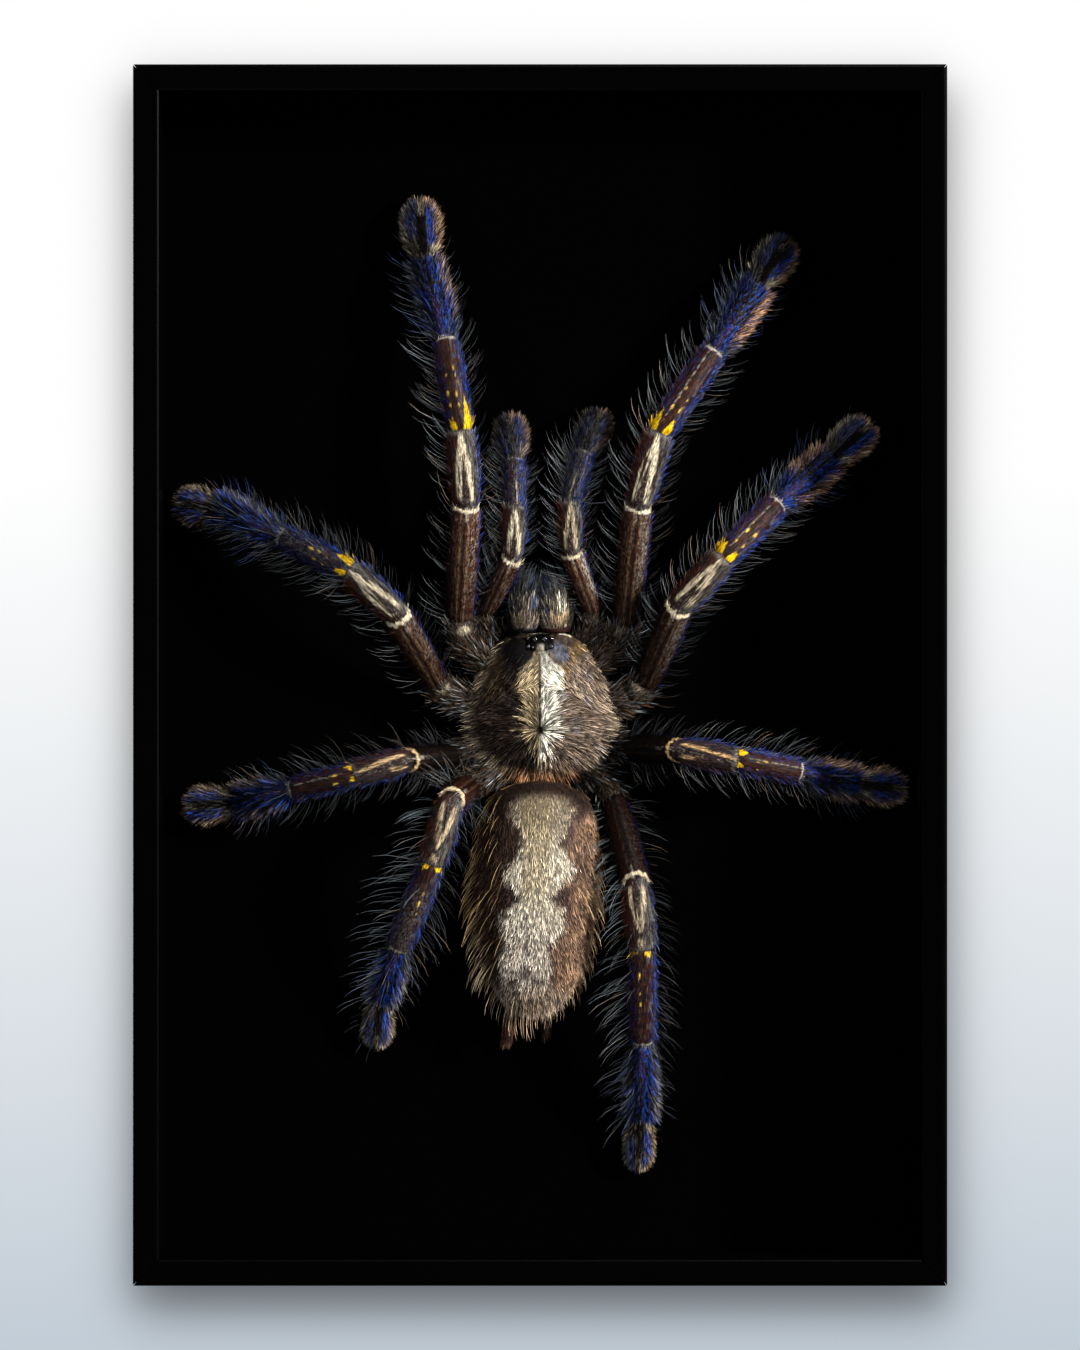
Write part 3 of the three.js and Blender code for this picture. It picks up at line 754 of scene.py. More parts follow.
def limb_skin(name, joints, parts, shape, width=1.0):
    """The skin of a limb with its coordinates: part, share, length, arc and angle per vertex."""
    line, part, share, length = limb_line(joints, parts)
    radius, flat = limb_radii(part, share, length, shape, width)
    ahead = np.gradient(line, axis=0)
    ahead /= np.linalg.norm(ahead, axis=1)[:, None]
    sign = 1 if name.startswith("left") else -1
    side = sign * np.stack([ahead[:, 1], -ahead[:, 0], 0 * ahead[:, 0]], 1)
    side /= np.linalg.norm(side, axis=1)[:, None]
    up = np.cross(side, ahead)
    up *= np.sign(up[:, 2])[:, None]
    angle = np.linspace(-np.pi, np.pi, AROUND, endpoint=False)
    angle = angle - CROWDING * np.sin(angle)
    upward = np.cos(angle)[None, :, None] * (up * flat[:, None])[:, None, :]
    ring = upward + np.sin(angle)[None, :, None] * side[:, None, :]
    places = (line[:, None, :] + ring * radius[:, None, None]).reshape(-1, 3)
    places[:, 2] = np.maximum(places[:, 2], LOWEST)
    verts = np.concatenate([places, [line[0], line[-1] + ahead[-1] * 0.12]])
    made = new_piece(f"{name}_skin", to_row(verts), tube_faces(len(line), AROUND))
    arc = np.concatenate([[0], np.cumsum(np.linalg.norm(np.diff(line, axis=0), axis=1))])
    along = dict(
        part=part, share=share, length=length, arc=arc, ahead=ahead, side=side, radius=radius
    )
    here = {
        key: np.concatenate([np.repeat(v, AROUND, axis=0), v[:1], v[-1:]])
        for key, v in along.items()
    }
    here["angle"] = np.concatenate([np.tile(angle, len(line)), [0.0, 0.0]])
    here["east"] = np.sin(here["angle"]) * here["side"][:, 0]
    here["palp"] = name.endswith("palp")
    return made, here


def limb_coat_colours(here, look, seed):
    """The markings of a limb, with painted light and shade: one colour for each vertex."""
    part, t, length, arc = here["part"], here["share"], here["length"], here["arc"]
    s, e = t * length, (1 - t) * length
    u = np.sin(here["angle"]) * look["turn"]
    top, east = np.cos(here["angle"]), here["east"]
    w, above = np.abs(u), top > 0
    # lit is 1 on the side of the limb towards the key light on the right. Colour weighted by lit or
    # east is painted light and shade.
    lit = ramp(-0.5, 0.4, east)
    hindmost = look["turn"] < 0
    spark, speck = np.random.default_rng(seed).random((2, len(part)))
    grain = noise(arc * 2.2, u * 5.0, seed)
    fine = noise(arc * 4.0, u * 9.0, seed + 3)
    streak = noise(arc * 0.7, u * 15.0, seed + 7)
    strand = noise(arc * 0.4, u * 21.0, seed + 9)
    cream = CREAM * (1 - look["gold"]) + GOLD * look["gold"]
    peach_share = look["lit_rust"]
    coat = coat_of(UMBER, part)
    on = None

    def lay(colour, mask=1.0):
        """Paints within the chosen part."""
        paint(coat, colour, on * mask)

    # Coxa and trochanter: dark hair with grey in it, and a pale spot on top.
    on = part <= TROCHANTER
    # The coxa and trochanter are darkened together with the femur: painted shade.
    bright = min(1, 0.2 + 3 * look["femur"])
    lay(lin(132, 98, 66) * 0.24 * bright)
    lay(GREY * 0.4 * bright, ramp(0.6, 0.75, spark))
    on = part == TROCHANTER
    spot = ramp(1.0, 0.5, np.hypot((t - 0.6) / 0.24, (u - 0.1) / 0.6)) * above
    lay(CREAM * (0.5 + 0.5 * grain)[:, None], spot * look["spot"])

    # Femur: chestnut with fine tan lines beside a dark one, pale specks, and a thin pale collar.
    on = part == FEMUR
    lay(CHESTNUT * 0.75)
    lay(TAN * 0.5, ramp(0.6, 0.85, streak) * 0.5)
    lay(lin(92, 36, 22), 0.85 * hindmost)
    # Pale specks, more of them on the side towards the light, and pale frost there too: painted
    # sheen over real specks.
    specks = 0.25 + 0.7 * ramp(0.1, 0.6, east) * ramp(0.1, 0.5, t)
    lay(PALE * 0.6, ramp(0.7, 0.87, spark) * specks)
    frost_and_sheen = ramp(0.35, 0.6, spark) * ramp(0.25, 0.7, east) * ramp(0.15, 0.5, t)
    lay(PALE * 0.7, frost_and_sheen * look["frost_and_sheen"])
    for line in (0.24, -0.3):
        lay(TAN, bump(u, line, 0.02, 0.05) * ramp(0.2, 0.5, fine) * 0.6)
    lay(UMBER * 0.5, bump(u, -0.05, 0.05, 0.08) * 0.8)
    # Painted shade on the femur's edge away from the light. Its blue edge shows only towards the
    # light, partly painted reflection.
    lay(UMBER, ramp(0.7, 0.86, w) * (1 - lit) * 0.8)
    lay(BLUE, ramp(0.9, 0.96, w) * lit * (top > -0.35) * ramp(0.45, 0.6, spark) * 0.85)
    # The femur darkened by painted shade, most of all near the body.
    coat *= (1 - on * (1 - look["femur"] * (0.55 + 0.6 * t)))[:, None]
    bend = 0.2 if here["palp"] else 0.45
    middle = 0.68 - bend * w**2 + 0.35 * (grain - 0.5) * (1 - look["gold"])
    thin = 1 - 0.6 * look["gold"]
    lay(UMBER * 0.35, ramp(0.05, -0.1, e - middle))
    lay(cream * 1.05, bump(e, middle, (0.13 + 0.13 * grain) * thin, 0.13 * thin) * (top > -0.25))
    lay(PALE * 0.8, bump(u, 0.1, 0.08, 0.1) * ramp(3.4, 0.9, e) * ramp(0.35, 0.6, fine) * 0.6)

    # Patella: dark, with two streaks of cream fibres that start apart and meet at its far end.
    on = part == PATELLA
    lay(PLUM * 0.8)
    # Brown on the side away from the light and grey sheen on the side towards it: painted shade and
    # painted sheen.
    lay(CHESTNUT * 0.8, ramp(0.1, -0.5, east) * ramp(0.3, 0.6, streak))
    lay(GREY * 0.55, ramp(0.0, 0.7, east) * ramp(0.25, 0.6, streak))
    lay(CREAM * 0.45, bump(u, 0, 0.25, 0.15) * ramp(0.8, 0.95, spark) * 0.7)
    p = np.clip((t - 0.07) / (0.66 if hindmost else 0.9), 0, 1)
    for way, reach, wide in ((1, 0.5, 0.13), (-1, 0.44, 0.15)):
        thick = 0.02 + wide * (1 - 0.5 * look["gold"]) * np.sin(np.pi * (0.14 + 0.82 * p)) ** 0.8
        arm = bump(u, way * reach * (1 - p**1.5), thick, 0.09) * ramp(0.04, 0.12, t)
        arm = arm * above * (p < 1)
        if way < 0:
            arm = arm * (1 - min(1, 2 * look["gold"]) * ramp(0.35, 0.6, t + 0.3 * grain))
        lay(UMBER, arm * ramp(0.35, 0.15, strand) * 0.8)
        lay(cream * 0.95, arm * ramp(0.22, 0.42, strand))
    if hindmost:
        lay(cream, bump(u, 0.05, 0.2, 0.12) * bump(t, 0.9, 0.04, 0.05) * ramp(0.3, 0.6, fine))
    lay(GREY * 0.8, ramp(0.9, 0.98, t) * 0.7)
    # Blue at its edge only where the light falls: partly painted reflection.
    lay(BLUE, ramp(0.88, 0.96, w) * lit * (top > -0.3) * ramp(0.5, 0.65, spark) * 0.8)

    # Tibia: plum with yellow patches at its base, rows of dots, blue edges, a pale far end.
    on = part == TIBIA
    lay(PLUM * 0.4)
    lay(CHESTNUT * 0.6, ramp(0.2, 0.5, grain) * 0.8)
    # Grey streaks, more of them towards the light: partly painted sheen.
    lay(GREY * 0.6, ramp(0.6, 0.8, streak) * (0.1 + 0.6 * ramp(0.1, 0.6, east)))
    lay(UMBER * 0.5, ramp(0.4, 0.15, streak) * 0.8)
    # A thin pale line along the tibia: a painted highlight.
    glint_highlight = bump(u, 0.3, 0.015, 0.05) * ramp(0.25, 0.6, fine) * ramp(0.05, 0.2, t)
    lay(PALE * 0.8, glint_highlight * 0.7 * look["glint_highlight"])
    if hindmost:
        lay(GREY * 0.7, ramp(0.5, 0.7, spark) * ramp(0.15, 0.4, t) * look["frost_and_sheen"])
    # A leg standing in painted shade gets the deep blue and grey flecks of that shade on its tibia.
    if look["far"] < 0.65:
        lay(DEEP_BLUE * 0.7, ramp(0.3, 0.6, speck) * 0.8)
        lay(GREY * 0.5, ramp(0.7, 0.85, spark))
    # Blue edges, fading away from the light: partly painted reflection.
    edge = ramp(0.76, 0.88, w) * (0.1 + 0.9 * lit) * (top > -0.3)
    lay(DEEP_BLUE * 0.6, edge * 0.9)
    lay(BLUE * 0.85, edge * ramp(0.5, 0.65, spark))
    lay(GREY * 0.5, edge * ramp(0.62, 0.72, speck))
    lay(BLUE * 0.7, ramp(0.35, 0.6, w) * ramp(0.8, 0.9, spark) * 0.6)
    if here["palp"]:
        lay(cream, bump(u, 0.25 - 0.2 * t, 0.03, 0.05) * ramp(0.55, 0.4, t) * above)
        lay(DEEP_BLUE * 0.8, ramp(0.35, 0.6, speck) * ramp(0.95, 0.6, grain) * 0.8)
        # Blue towards the light: partly painted reflection.
        lay(BLUE * 0.8, ramp(0.1, 0.5, east) * ramp(0.55, 0.8, spark))
        lay(GREY * 0.55, ramp(0.74, 0.86, speck))
    else:
        for where, half, key, blunt in PATCHES:
            off = np.abs(u - where)
            reach = look[key] * length * np.clip(1 - off / half, 0, 1) ** blunt
            reach = np.where(off < half, reach + 0.7 * (fine - 0.5), 0)
            lay(YELLOW, above * ramp(-0.05, 0.1, reach - s) * (s > 0.1))
        for row, where in DOT_ROWS[: 1 if hindmost else 2]:
            for k, place in enumerate(where[: round(len(where) * look["dots"])]):
                size = 0.06 + 0.05 * ((k * 7 + seed) % 3)
                along = (t - place - 0.02 * ((k * 3 + seed) % 4)) * length / 2.5
                away = np.hypot(along, (u - row - 0.05 * ((k * 5 + seed) % 3)) * 2.0)
                lay(YELLOW * 0.75 + CREAM * 0.2, above * ramp(size + 0.06, size - 0.04, away))
    collar = ramp(0.1, -0.1, e - 0.35 - 0.4 * grain) * ramp(0.95, 0.7, w) * (top > -0.1)
    lay(PALE, collar * (0.22 if here["palp"] else 0.75))

    # Metatarsus: black with blue strokes, parted by a dark line, and peach at its edges.
    on = part == METATARSUS
    lay(UMBER * 0.35)
    lay(CHESTNUT * 0.6, bump(u, -0.02, 0.2, 0.12) * ramp(0.55, 0.3, t) * ramp(0.8, 0.5, speck))
    # Blue strokes, brighter towards the light: partly painted reflection.
    strokes = ramp(0.58, 0.68, spark) * ramp(0.15, 0.4, grain) * ramp(1.05, 0.85, w)
    lay(BLUE * 0.85, strokes * (0.35 + 0.65 * lit))
    lay(UMBER * 0.2, bump(u, 0.05, 0.06, 0.08) * ramp(0.4, 0.6, t))
    lay(GREY * 0.35, ramp(0.55, 0.8, -u) * ramp(0.75, 0.88, speck))
    lay(SETA * 0.5, ramp(0.88, 0.95, speck))
    lay(SETA * 0.6, ramp(0.72, 0.85, w) * ramp(0.5, 0.65, speck))
    # Peach at the edges, more of it and brighter on the side towards the light: partly painted
    # light.
    rust = ramp(0.66, 0.82, w) * ramp(0.05, 0.4, t) * ramp(0.35, 0.5, speck)
    rust = rust * np.maximum(lit, ramp(0.3, 0.55, t))
    rust = np.clip(rust * (look["rust"] + (peach_share - look["rust"]) * lit), 0, 1)
    lay(PEACH * (0.5 + 0.35 * peach_share), rust)
    lay(GREY * 0.7, ramp(0.45, 0.2, e) * ramp(0.3, 0.6, speck) * (w < 0.7))

    # Tarsus: a pad with a dark midline, blue strokes, and grey and peach ones at its edges.
    on = part == TARSUS
    lay(OLIVE * 0.1)
    lay(GREY * 0.35, ramp(0.6, 0.75, speck) * ramp(0.1, 0.4, w))
    if here["palp"]:
        lay(BLUE * 0.7, ramp(0.5, 0.2, t) * ramp(0.5, 0.7, spark))
    # Blue strokes, brighter and further out towards the light: partly painted reflection.
    blue = bump(w, 0.55, 0.2, 0.12) * bump(t - 0.15 * (1 - lit), 0.55, 0.28, 0.15)
    lay(BLUE * 0.85, blue * (0.35 + 0.65 * lit) * ramp(0.5, 0.62, spark))
    lay(UMBER * 0.2, bump(u, 0, 0.2, 0.14) * ramp(0.85, 0.7, t))
    lay(CREAM * 0.35, bump(u, 0, 0.14, 0.1) * bump(t, 0.82, 0.05, 0.08) * ramp(0.2, 0.5, spark))
    lay(CREAM * 0.5, ramp(0.7, 0.92, w) * ramp(0.66, 0.8, spark))
    # Peach at the edge, painted only on the side towards the light: partly painted light.
    rust = ramp(0.6, 0.8, w) * lit * ramp(0.35, 0.5, speck)
    lay(PEACH * 0.7, rust * min(1, 0.2 + peach_share))
    if here["palp"]:
        lay(GREY * 0.4, ramp(0.4, 0.6, speck) * ramp(0.9, 0.5, w))
        # The palps' tarsi darkened: painted shade.
        coat *= (1 - 0.35 * on)[:, None]
    # Cream and peach near the tarsus's ends, mostly on the side towards the light: partly painted
    # light.
    if hindmost:
        lay(CREAM * 0.8, bump(w, 0.5, 0.2, 0.12) * ramp(0.88, 0.95, t) * lit * above)
    spot = bump(w, 0.72, 0.16, 0.1) * bump(t, 0.13, 0.06, 0.05) * lit * above
    lay(CREAM * 0.8, spot * (0.2 if here["palp"] else min(0.8, 0.2 + peach_share)))
    end = ramp(0.86, 0.96, t) * ramp(0.3, 0.6, spark) * np.maximum(lit, look["rust"])
    lay(PEACH * 0.8, end * min(0.9, 0.3 + peach_share))

    # Under the limb it is dark.
    paint(coat, UMBER * 0.35, ramp(0.0, -0.5, top))
    # The patella and all beyond it darkened by the limb's painted shade.
    coat *= (1 - (part == PATELLA) * (1 - look["knee_lighting"]))[:, None]
    coat *= (1 - (part >= TIBIA) * (1 - look["far"]))[:, None]
    return coat


def limb_layers(here, look, coat, seed):
    """For each layer of hair, its density, length, lift and tint on each vertex of a limb."""
    part, t, arc = here["part"], here["share"], here["arc"]
    u = np.sin(here["angle"]) * look["turn"]
    top, w = np.cos(here["angle"]), np.abs(u)
    shown = ramp(-0.75, -0.25, top)
    hips = part <= TROCHANTER
    pad, metatarsus = part == TARSUS, part == METATARSUS
    brush = np.clip(pad + metatarsus * ramp(0.02, 0.25, t), 0, 1)
    sides = ramp(0.72, 0.92, w) * shown
    rows = np.array(PART_HAIR)[part].T
    down_length, down_lift, fringe, fringe_length, fringe_lift, setae, setae_length = rows[:7]
    setae_bright, on_back = rows[7:]
    spot = (part == TROCHANTER) * (np.hypot((t - 0.64) / 0.34, (u - 0.1) / 0.7) < 1) * look["spot"]

    fringe = 0.2 * hips * (1 - spot) + sides * fringe
    fringe = fringe + brush * ramp(0.4, 0.75, w) * shown
    gap = pad * ramp(0.16, 0.1, t) + metatarsus * ramp(0.92, 0.97, t)
    fringe = fringe * (1 - 0.9 * gap)
    fringe = fringe + pad * ramp(0.8, 0.95, t) * shown
    if look["turn"] < 0:
        fringe_length = np.where(pad, HIND_PAD_FRINGE, fringe_length)
    fringe_tint = coat * 1.15
    paint(fringe_tint, SETA * 0.85, hips * ramp(0.55, 0.7, noise(arc * 3.4, u * 9.0, seed + 19)))

    setae = ramp(0.74, 0.88, w) * ramp(-0.6, -0.3, top) * setae
    if here["palp"]:
        on_back, setae = on_back * 2, setae * 2.2
    if look["far"] < 0.65:
        on_back = on_back * 4
    setae = setae + ramp(-0.1, 0.3, top) * on_back * look["long"] ** 2
    setae_length = look["long"] * setae_length
    setae_length = setae_length * (0.85 + 0.3 * noise(arc * 0.8, u * 2, seed + 5))
    setae_length = setae_length * (1.08 - 0.15 * here["east"])
    setae_lift = (1.1 if look["turn"] > 0 else 1.28) + 0.1 * np.sin(arc * 1.3 + seed)
    # Painted light and shade in the setae: dimmer on a leg in shade, and dimmer on the side towards
    # the key light.
    bright = 1.3 if here["palp"] else 0.4 + 0.6 * look["far"]
    shade = 0.82 - 0.18 * here["east"] if look["turn"] > 0 else 1.1 - 0.5 * here["east"]
    setae_tint = SETA * 0.72 * (bright * shade)[:, None]
    blue = ramp(0.6, 0.8, noise(arc * 1.7, u * 4.0, seed + 11)) * 0.3
    paint(setae_tint, BLUE, metatarsus * blue)
    paint(setae_tint, TAN, ramp(0.7, 0.9, noise(arc * 3, u * 3, seed + 17)) * 0.4)
    setae_tint *= setae_bright[:, None]
    down = ramp(-0.55, -0.15, top) * (1 - 0.6 * spot)
    return {
        "down": (down, down_length, down_lift, coat * 0.95),
        "fringe": (fringe, fringe_length, fringe_lift, fringe_tint),
        "setae": (setae, setae_length, setae_lift, setae_tint),
    }


def tufted(coat, seed):
    """coat with a brightness of its own at each vertex, so that the hair stands in small tufts."""
    return coat * (0.55 + 0.9 * np.random.default_rng(seed).random(len(coat)))[:, None]


def row_directions(v):
    """Directions on the animal, [x, z, height], in the row frame."""
    v = np.asarray(v, float)
    v = v / np.maximum(np.linalg.norm(v, axis=1), 1e-9)[:, None]
    return np.stack([v[:, 0], -v[:, 2], v[:, 1]], 1)


def dress(skin, name, seed, slot, kit, coat, lay, flow, layers):
    """Colours a skin, grows its hair as a piece of its own, and hands over both in place of the
    solid. lay stretches the skin's streaks, and flow is the direction in which its hair lies."""
    give(skin, "coat", coat)
    give(skin, "lay", np.stack(lay, 1))
    give(skin, "flow", row_directions(flow))
    for layer, (density, length, lift, tint) in layers.items():
        give(skin, f"{layer}_density", density)
        give(skin, f"{layer}_length", np.asarray(length) * MM)
        give(skin, f"{layer}_lift", lift)
        give(skin, f"{layer}_tint", tint)
    grow_coat(skin, f"{name}_hair", seed, kit, slot)
    finish_piece(skin, kit["skin_material"], slot, name)


def make_limb(name, joints, parts, shape, seed, kit):
    """A leg or a palp: its skin with markings, and its hair."""
    width = THIRD_LEG_WIDTH if name.endswith("leg_3") else 1.0
    skin, here = limb_skin(name, joints, parts, shape, width)
    look = dict(zip(LOOK, LIMB_LOOKS[name]))
    coat = limb_coat_colours(here, look, seed)
    layers = limb_layers(here, look, coat, seed)
    lay = here["angle"] * here["radius"] * 6, here["arc"] * 1.1, here["radius"]
    fan = np.sin(here["angle"]) * np.where(here["part"] >= METATARSUS, 0.25, 0.06)
    flow = here["ahead"] + here["side"] * fan[:, None]
    dress(skin, name, seed, "limb_chitin", kit, coat, lay, flow, layers)


# ---------- the body ----------


def closed_curve(points, count):
    """A smooth closed curve through points, count places evenly spaced along it."""
    b = np.array(points, float)
    a, c, d = (np.roll(b, shift, axis=0) for shift in (1, -1, -2))
    t = np.linspace(0, 1, 24, endpoint=False)[:, None]
    fine = []
    for p, q, r, s in zip(a, b, c, d):
        bend, twist = 2 * p - 5 * q + 4 * r - s, 3 * q - p - 3 * r + s
        fine.append(0.5 * (2 * q + (r - p) * t + bend * t**2 + twist * t**3))
    closed = np.concatenate([*fine, fine[0][:1]])
    gone = np.concatenate([[0], np.cumsum(np.linalg.norm(np.diff(closed, axis=0), axis=1))])
    want = np.linspace(0, gone[-1], count, endpoint=False)
    return np.stack([np.interp(want, gone, closed[:, k]) for k in range(closed.shape[1])], 1)


def carapace_rise(x, z, rho):
    """Height of the carapace over its margin, with its fovea, grooves and eye mound."""
    rise = at_z(z, CROWN) * np.clip(1 - rho**2.3, 0, 1) ** 0.62
    fx, fz = x - FOVEA[0], z - FOVEA[1]
    rise = rise - 0.8 * np.exp(-((fx / 1.1) ** 2) - (fz / 0.75) ** 2)
    away, angle = np.hypot(fx, fz), np.arctan2(fz, np.abs(fx))
    for aim, depth in GROOVES:
        across, along = away * np.sin(angle - aim), away * np.cos(angle - aim)
        groove = np.exp(-((across / 0.55) ** 2)) * ramp(0.5, 2.5, along) * ramp(1.0, 0.8, rho)
        rise = rise - depth * groove
    mx, mz, half_x, half_z, high = EYE_MOUND
    spot = ((x - mx) / half_x) ** 2 + ((z - mz) / half_z) ** 2
    return rise + high * np.clip(1 - spot, 0, 1) ** 0.5 * 0.9


CARAPACE_MIDDLE = np.array([0.0, -4.6])
CARAPACE_HALF = (10, 11)  # its half-width and half-length, about
CARAPACE_AROUND, CARAPACE_RINGS = 288, 84
CARAPACE_UNDER = [  # [share of the way out, height] of the rings under the margin
    (0.985, 6.35), (0.9, 6.1), (0.62, 5.9), (0.5, 5.0), (0.42, 3.4), (0.28, 2.7), (0.08, 2.5),
]


def carapace_skin():
    """The carapace as rings from its middle to its margin, then under it and round the sternum."""
    right = np.array(CARAPACE_OUTLINE)
    left = right[-2:0:-1] * [-1, 1]
    around, middle = CARAPACE_AROUND, CARAPACE_MIDDLE
    edge = closed_curve(np.concatenate([right, left]), around)
    rhos = np.linspace(0.02, 1, CARAPACE_RINGS) ** 0.9
    rings = []
    for rho in rhos:
        xz = middle + (edge - middle) * rho
        high = CARAPACE_MARGIN + carapace_rise(xz[:, 0], xz[:, 1], np.full(around, rho))
        rings.append(np.concatenate([xz, high[:, None]], 1))
    for rho, high in CARAPACE_UNDER:
        xz = middle + (edge - middle) * rho
        rings.append(np.concatenate([xz, np.full((around, 1), high)], 1))
    top = CARAPACE_MARGIN + carapace_rise(middle[:1], middle[1:], np.zeros(1))[0]
    verts = np.concatenate([*rings, [[*middle, top], [*middle, CARAPACE_UNDER[-1][1]]]])
    made = new_piece("carapace_skin", to_row(verts), tube_faces(len(rings), around))
    under = np.full(around * len(CARAPACE_UNDER), 2.0)
    return made, verts, np.concatenate([np.repeat(rhos, around), under, [0.0, 2.0]])


def eye_patches(x, z):
    """Distances from the middles of the two smooth patches behind the eyes, right and left."""
    right = np.hypot((x - 2.9) * 0.8 + (z - 3.4) * 0.35, (z - 3.4) * 0.62)
    return right, np.hypot((x + 3.7) * 0.85, (z - 3.6) * 0.72)


def carapace_colours(x, z, rho):
    """The carapace's markings, with painted sheen on its right and painted shade on its left: one
    colour for each vertex.
    """
    fx, fz = x - FOVEA[0], z - FOVEA[1]
    angle, away = np.arctan2(fz, fx), np.hypot(fx, fz)
    rays = noise(angle * 24, away * 0.5, 5)
    blotch = noise(x * 0.6 + 40, z * 0.6, 9)
    right = ramp(-0.5, 0.5, x)
    coat = coat_of(lin(176, 156, 136), x)

    lay = partial(paint, coat)
    # Grey-brown, with blotches of lilac-grey painted sheen on the right and nearly black on the
    # left with painted shade, with a margin of its own on each side.
    lay(lin(140, 116, 92), ramp(0.35, 0.7, blotch) * 0.7)
    lay(lin(168, 160, 164), right * ramp(0.6, 0.8, blotch) * 0.5)
    lay(lin(24, 14, 11), (1 - right) * (0.97 - 0.12 * ramp(0.5, 0.9, blotch)))
    lay(lin(104, 84, 56), (1 - right) * ramp(4.2, 1.6, np.hypot(x + 7.8, (z - 1.0) * 0.7)) * 0.5)
    strands = 0.3 + 0.7 * ramp(0.4, 0.6, rays)
    lay(lin(150, 134, 108), (1 - right) * ramp(0.8, 0.96, rho) * 0.75 * strands)
    lay(lin(92, 74, 58), right * ramp(0.74, 0.9, rho) * 0.8 * (1.3 - strands))
    for aim in (0.3, -0.25, -0.85):
        wedge = np.exp(-(((np.abs(np.arctan2(fz, np.abs(fx)) - aim)) / 0.12) ** 2))
        lay(lin(70, 52, 46), wedge * ramp(2.5, 4.0, away) * ramp(0.95, 0.75, rho) * 0.45)
    # An olive band from the front corner to the stripe on the right.
    band = ramp(1.0, 0.3, np.abs((x - 3.3) * 0.83 - (z - 0.3) * 0.5))
    lay(lin(168, 134, 84), right * band * ramp(-2.5, 0.0, z) * ramp(6.2, 5.0, z) * 0.8)
    # The pale stripe from the eyes to the fovea, a starburst there and a short tail.
    half = at_z(z, STRIPE) + 2.6 * (rays - 0.5) * ramp(3.0, 8.0, -z)
    half = half + 0.5 * (noise(x * 3, z * 3, 12) - 0.5)
    stripe = ramp(0.3, -0.3, np.abs(x - 0.1) - half) * ramp(-13.0, -11.5, z) * ramp(4.8, 4.3, z)
    # The stripe's right half is brighter than white with painted light, and its left half tan in
    # painted shade.
    lit, dark = lin(255, 250, 232) * 1.5, lin(206, 184, 144)
    pale = lit + (dark - lit) * ramp(0.15, -0.15, x)[:, None]
    lay(pale, stripe * (0.7 + 0.3 * ramp(0.25, 0.5, rays)))
    seam = bump(x, 0.02, 0.05, 0.1) * ramp(-8.4, -7.6, z) * ramp(3.4, 2.4, z)
    lay(lin(40, 26, 20), seam * 0.95)
    lay(lin(30, 20, 16), ramp(0.8, 0.25, np.hypot(fx, fz * 0.8)))
    burst = ramp(0.5, 0.72, noise(angle * 8.5, 0 * away, 8)) * ramp(3.8, 1.4, away)
    lay(lin(34, 24, 20), burst * 0.85)
    # Smooth patches beside the eyes, the right one blue-grey with painted sheen and the left one
    # nearly black with painted shade, a black mound under them, and a rusty rear edge.
    right_patch, left_patch = eye_patches(x, z)
    lay(lin(150, 154, 176), ramp(1.25, 0.6, right_patch) * 0.9)
    lay(lin(20, 11, 9), ramp(2.6, 1.0, left_patch))
    tuft = bump(x, 0, 0.45, 0.25) * ramp(4.9, 4.5, z)
    lay(UMBER * 0.12, ramp(2.35, 1.9, np.hypot(x, (z - 4.75) * 1.6)) * (1 - tuft))
    lay(RUST * 0.6, ramp(-13.0, -14.6, z) * 0.6)
    lay(UMBER * 0.5, rho > 1.5)
    # The left half outside the stripe darkened further: painted shade.
    left_painted_shade = (1 - right) * (1 - stripe) * ramp(0.9, 0.8, rho)
    return coat * (1 - 0.4 * left_painted_shade)[:, None]


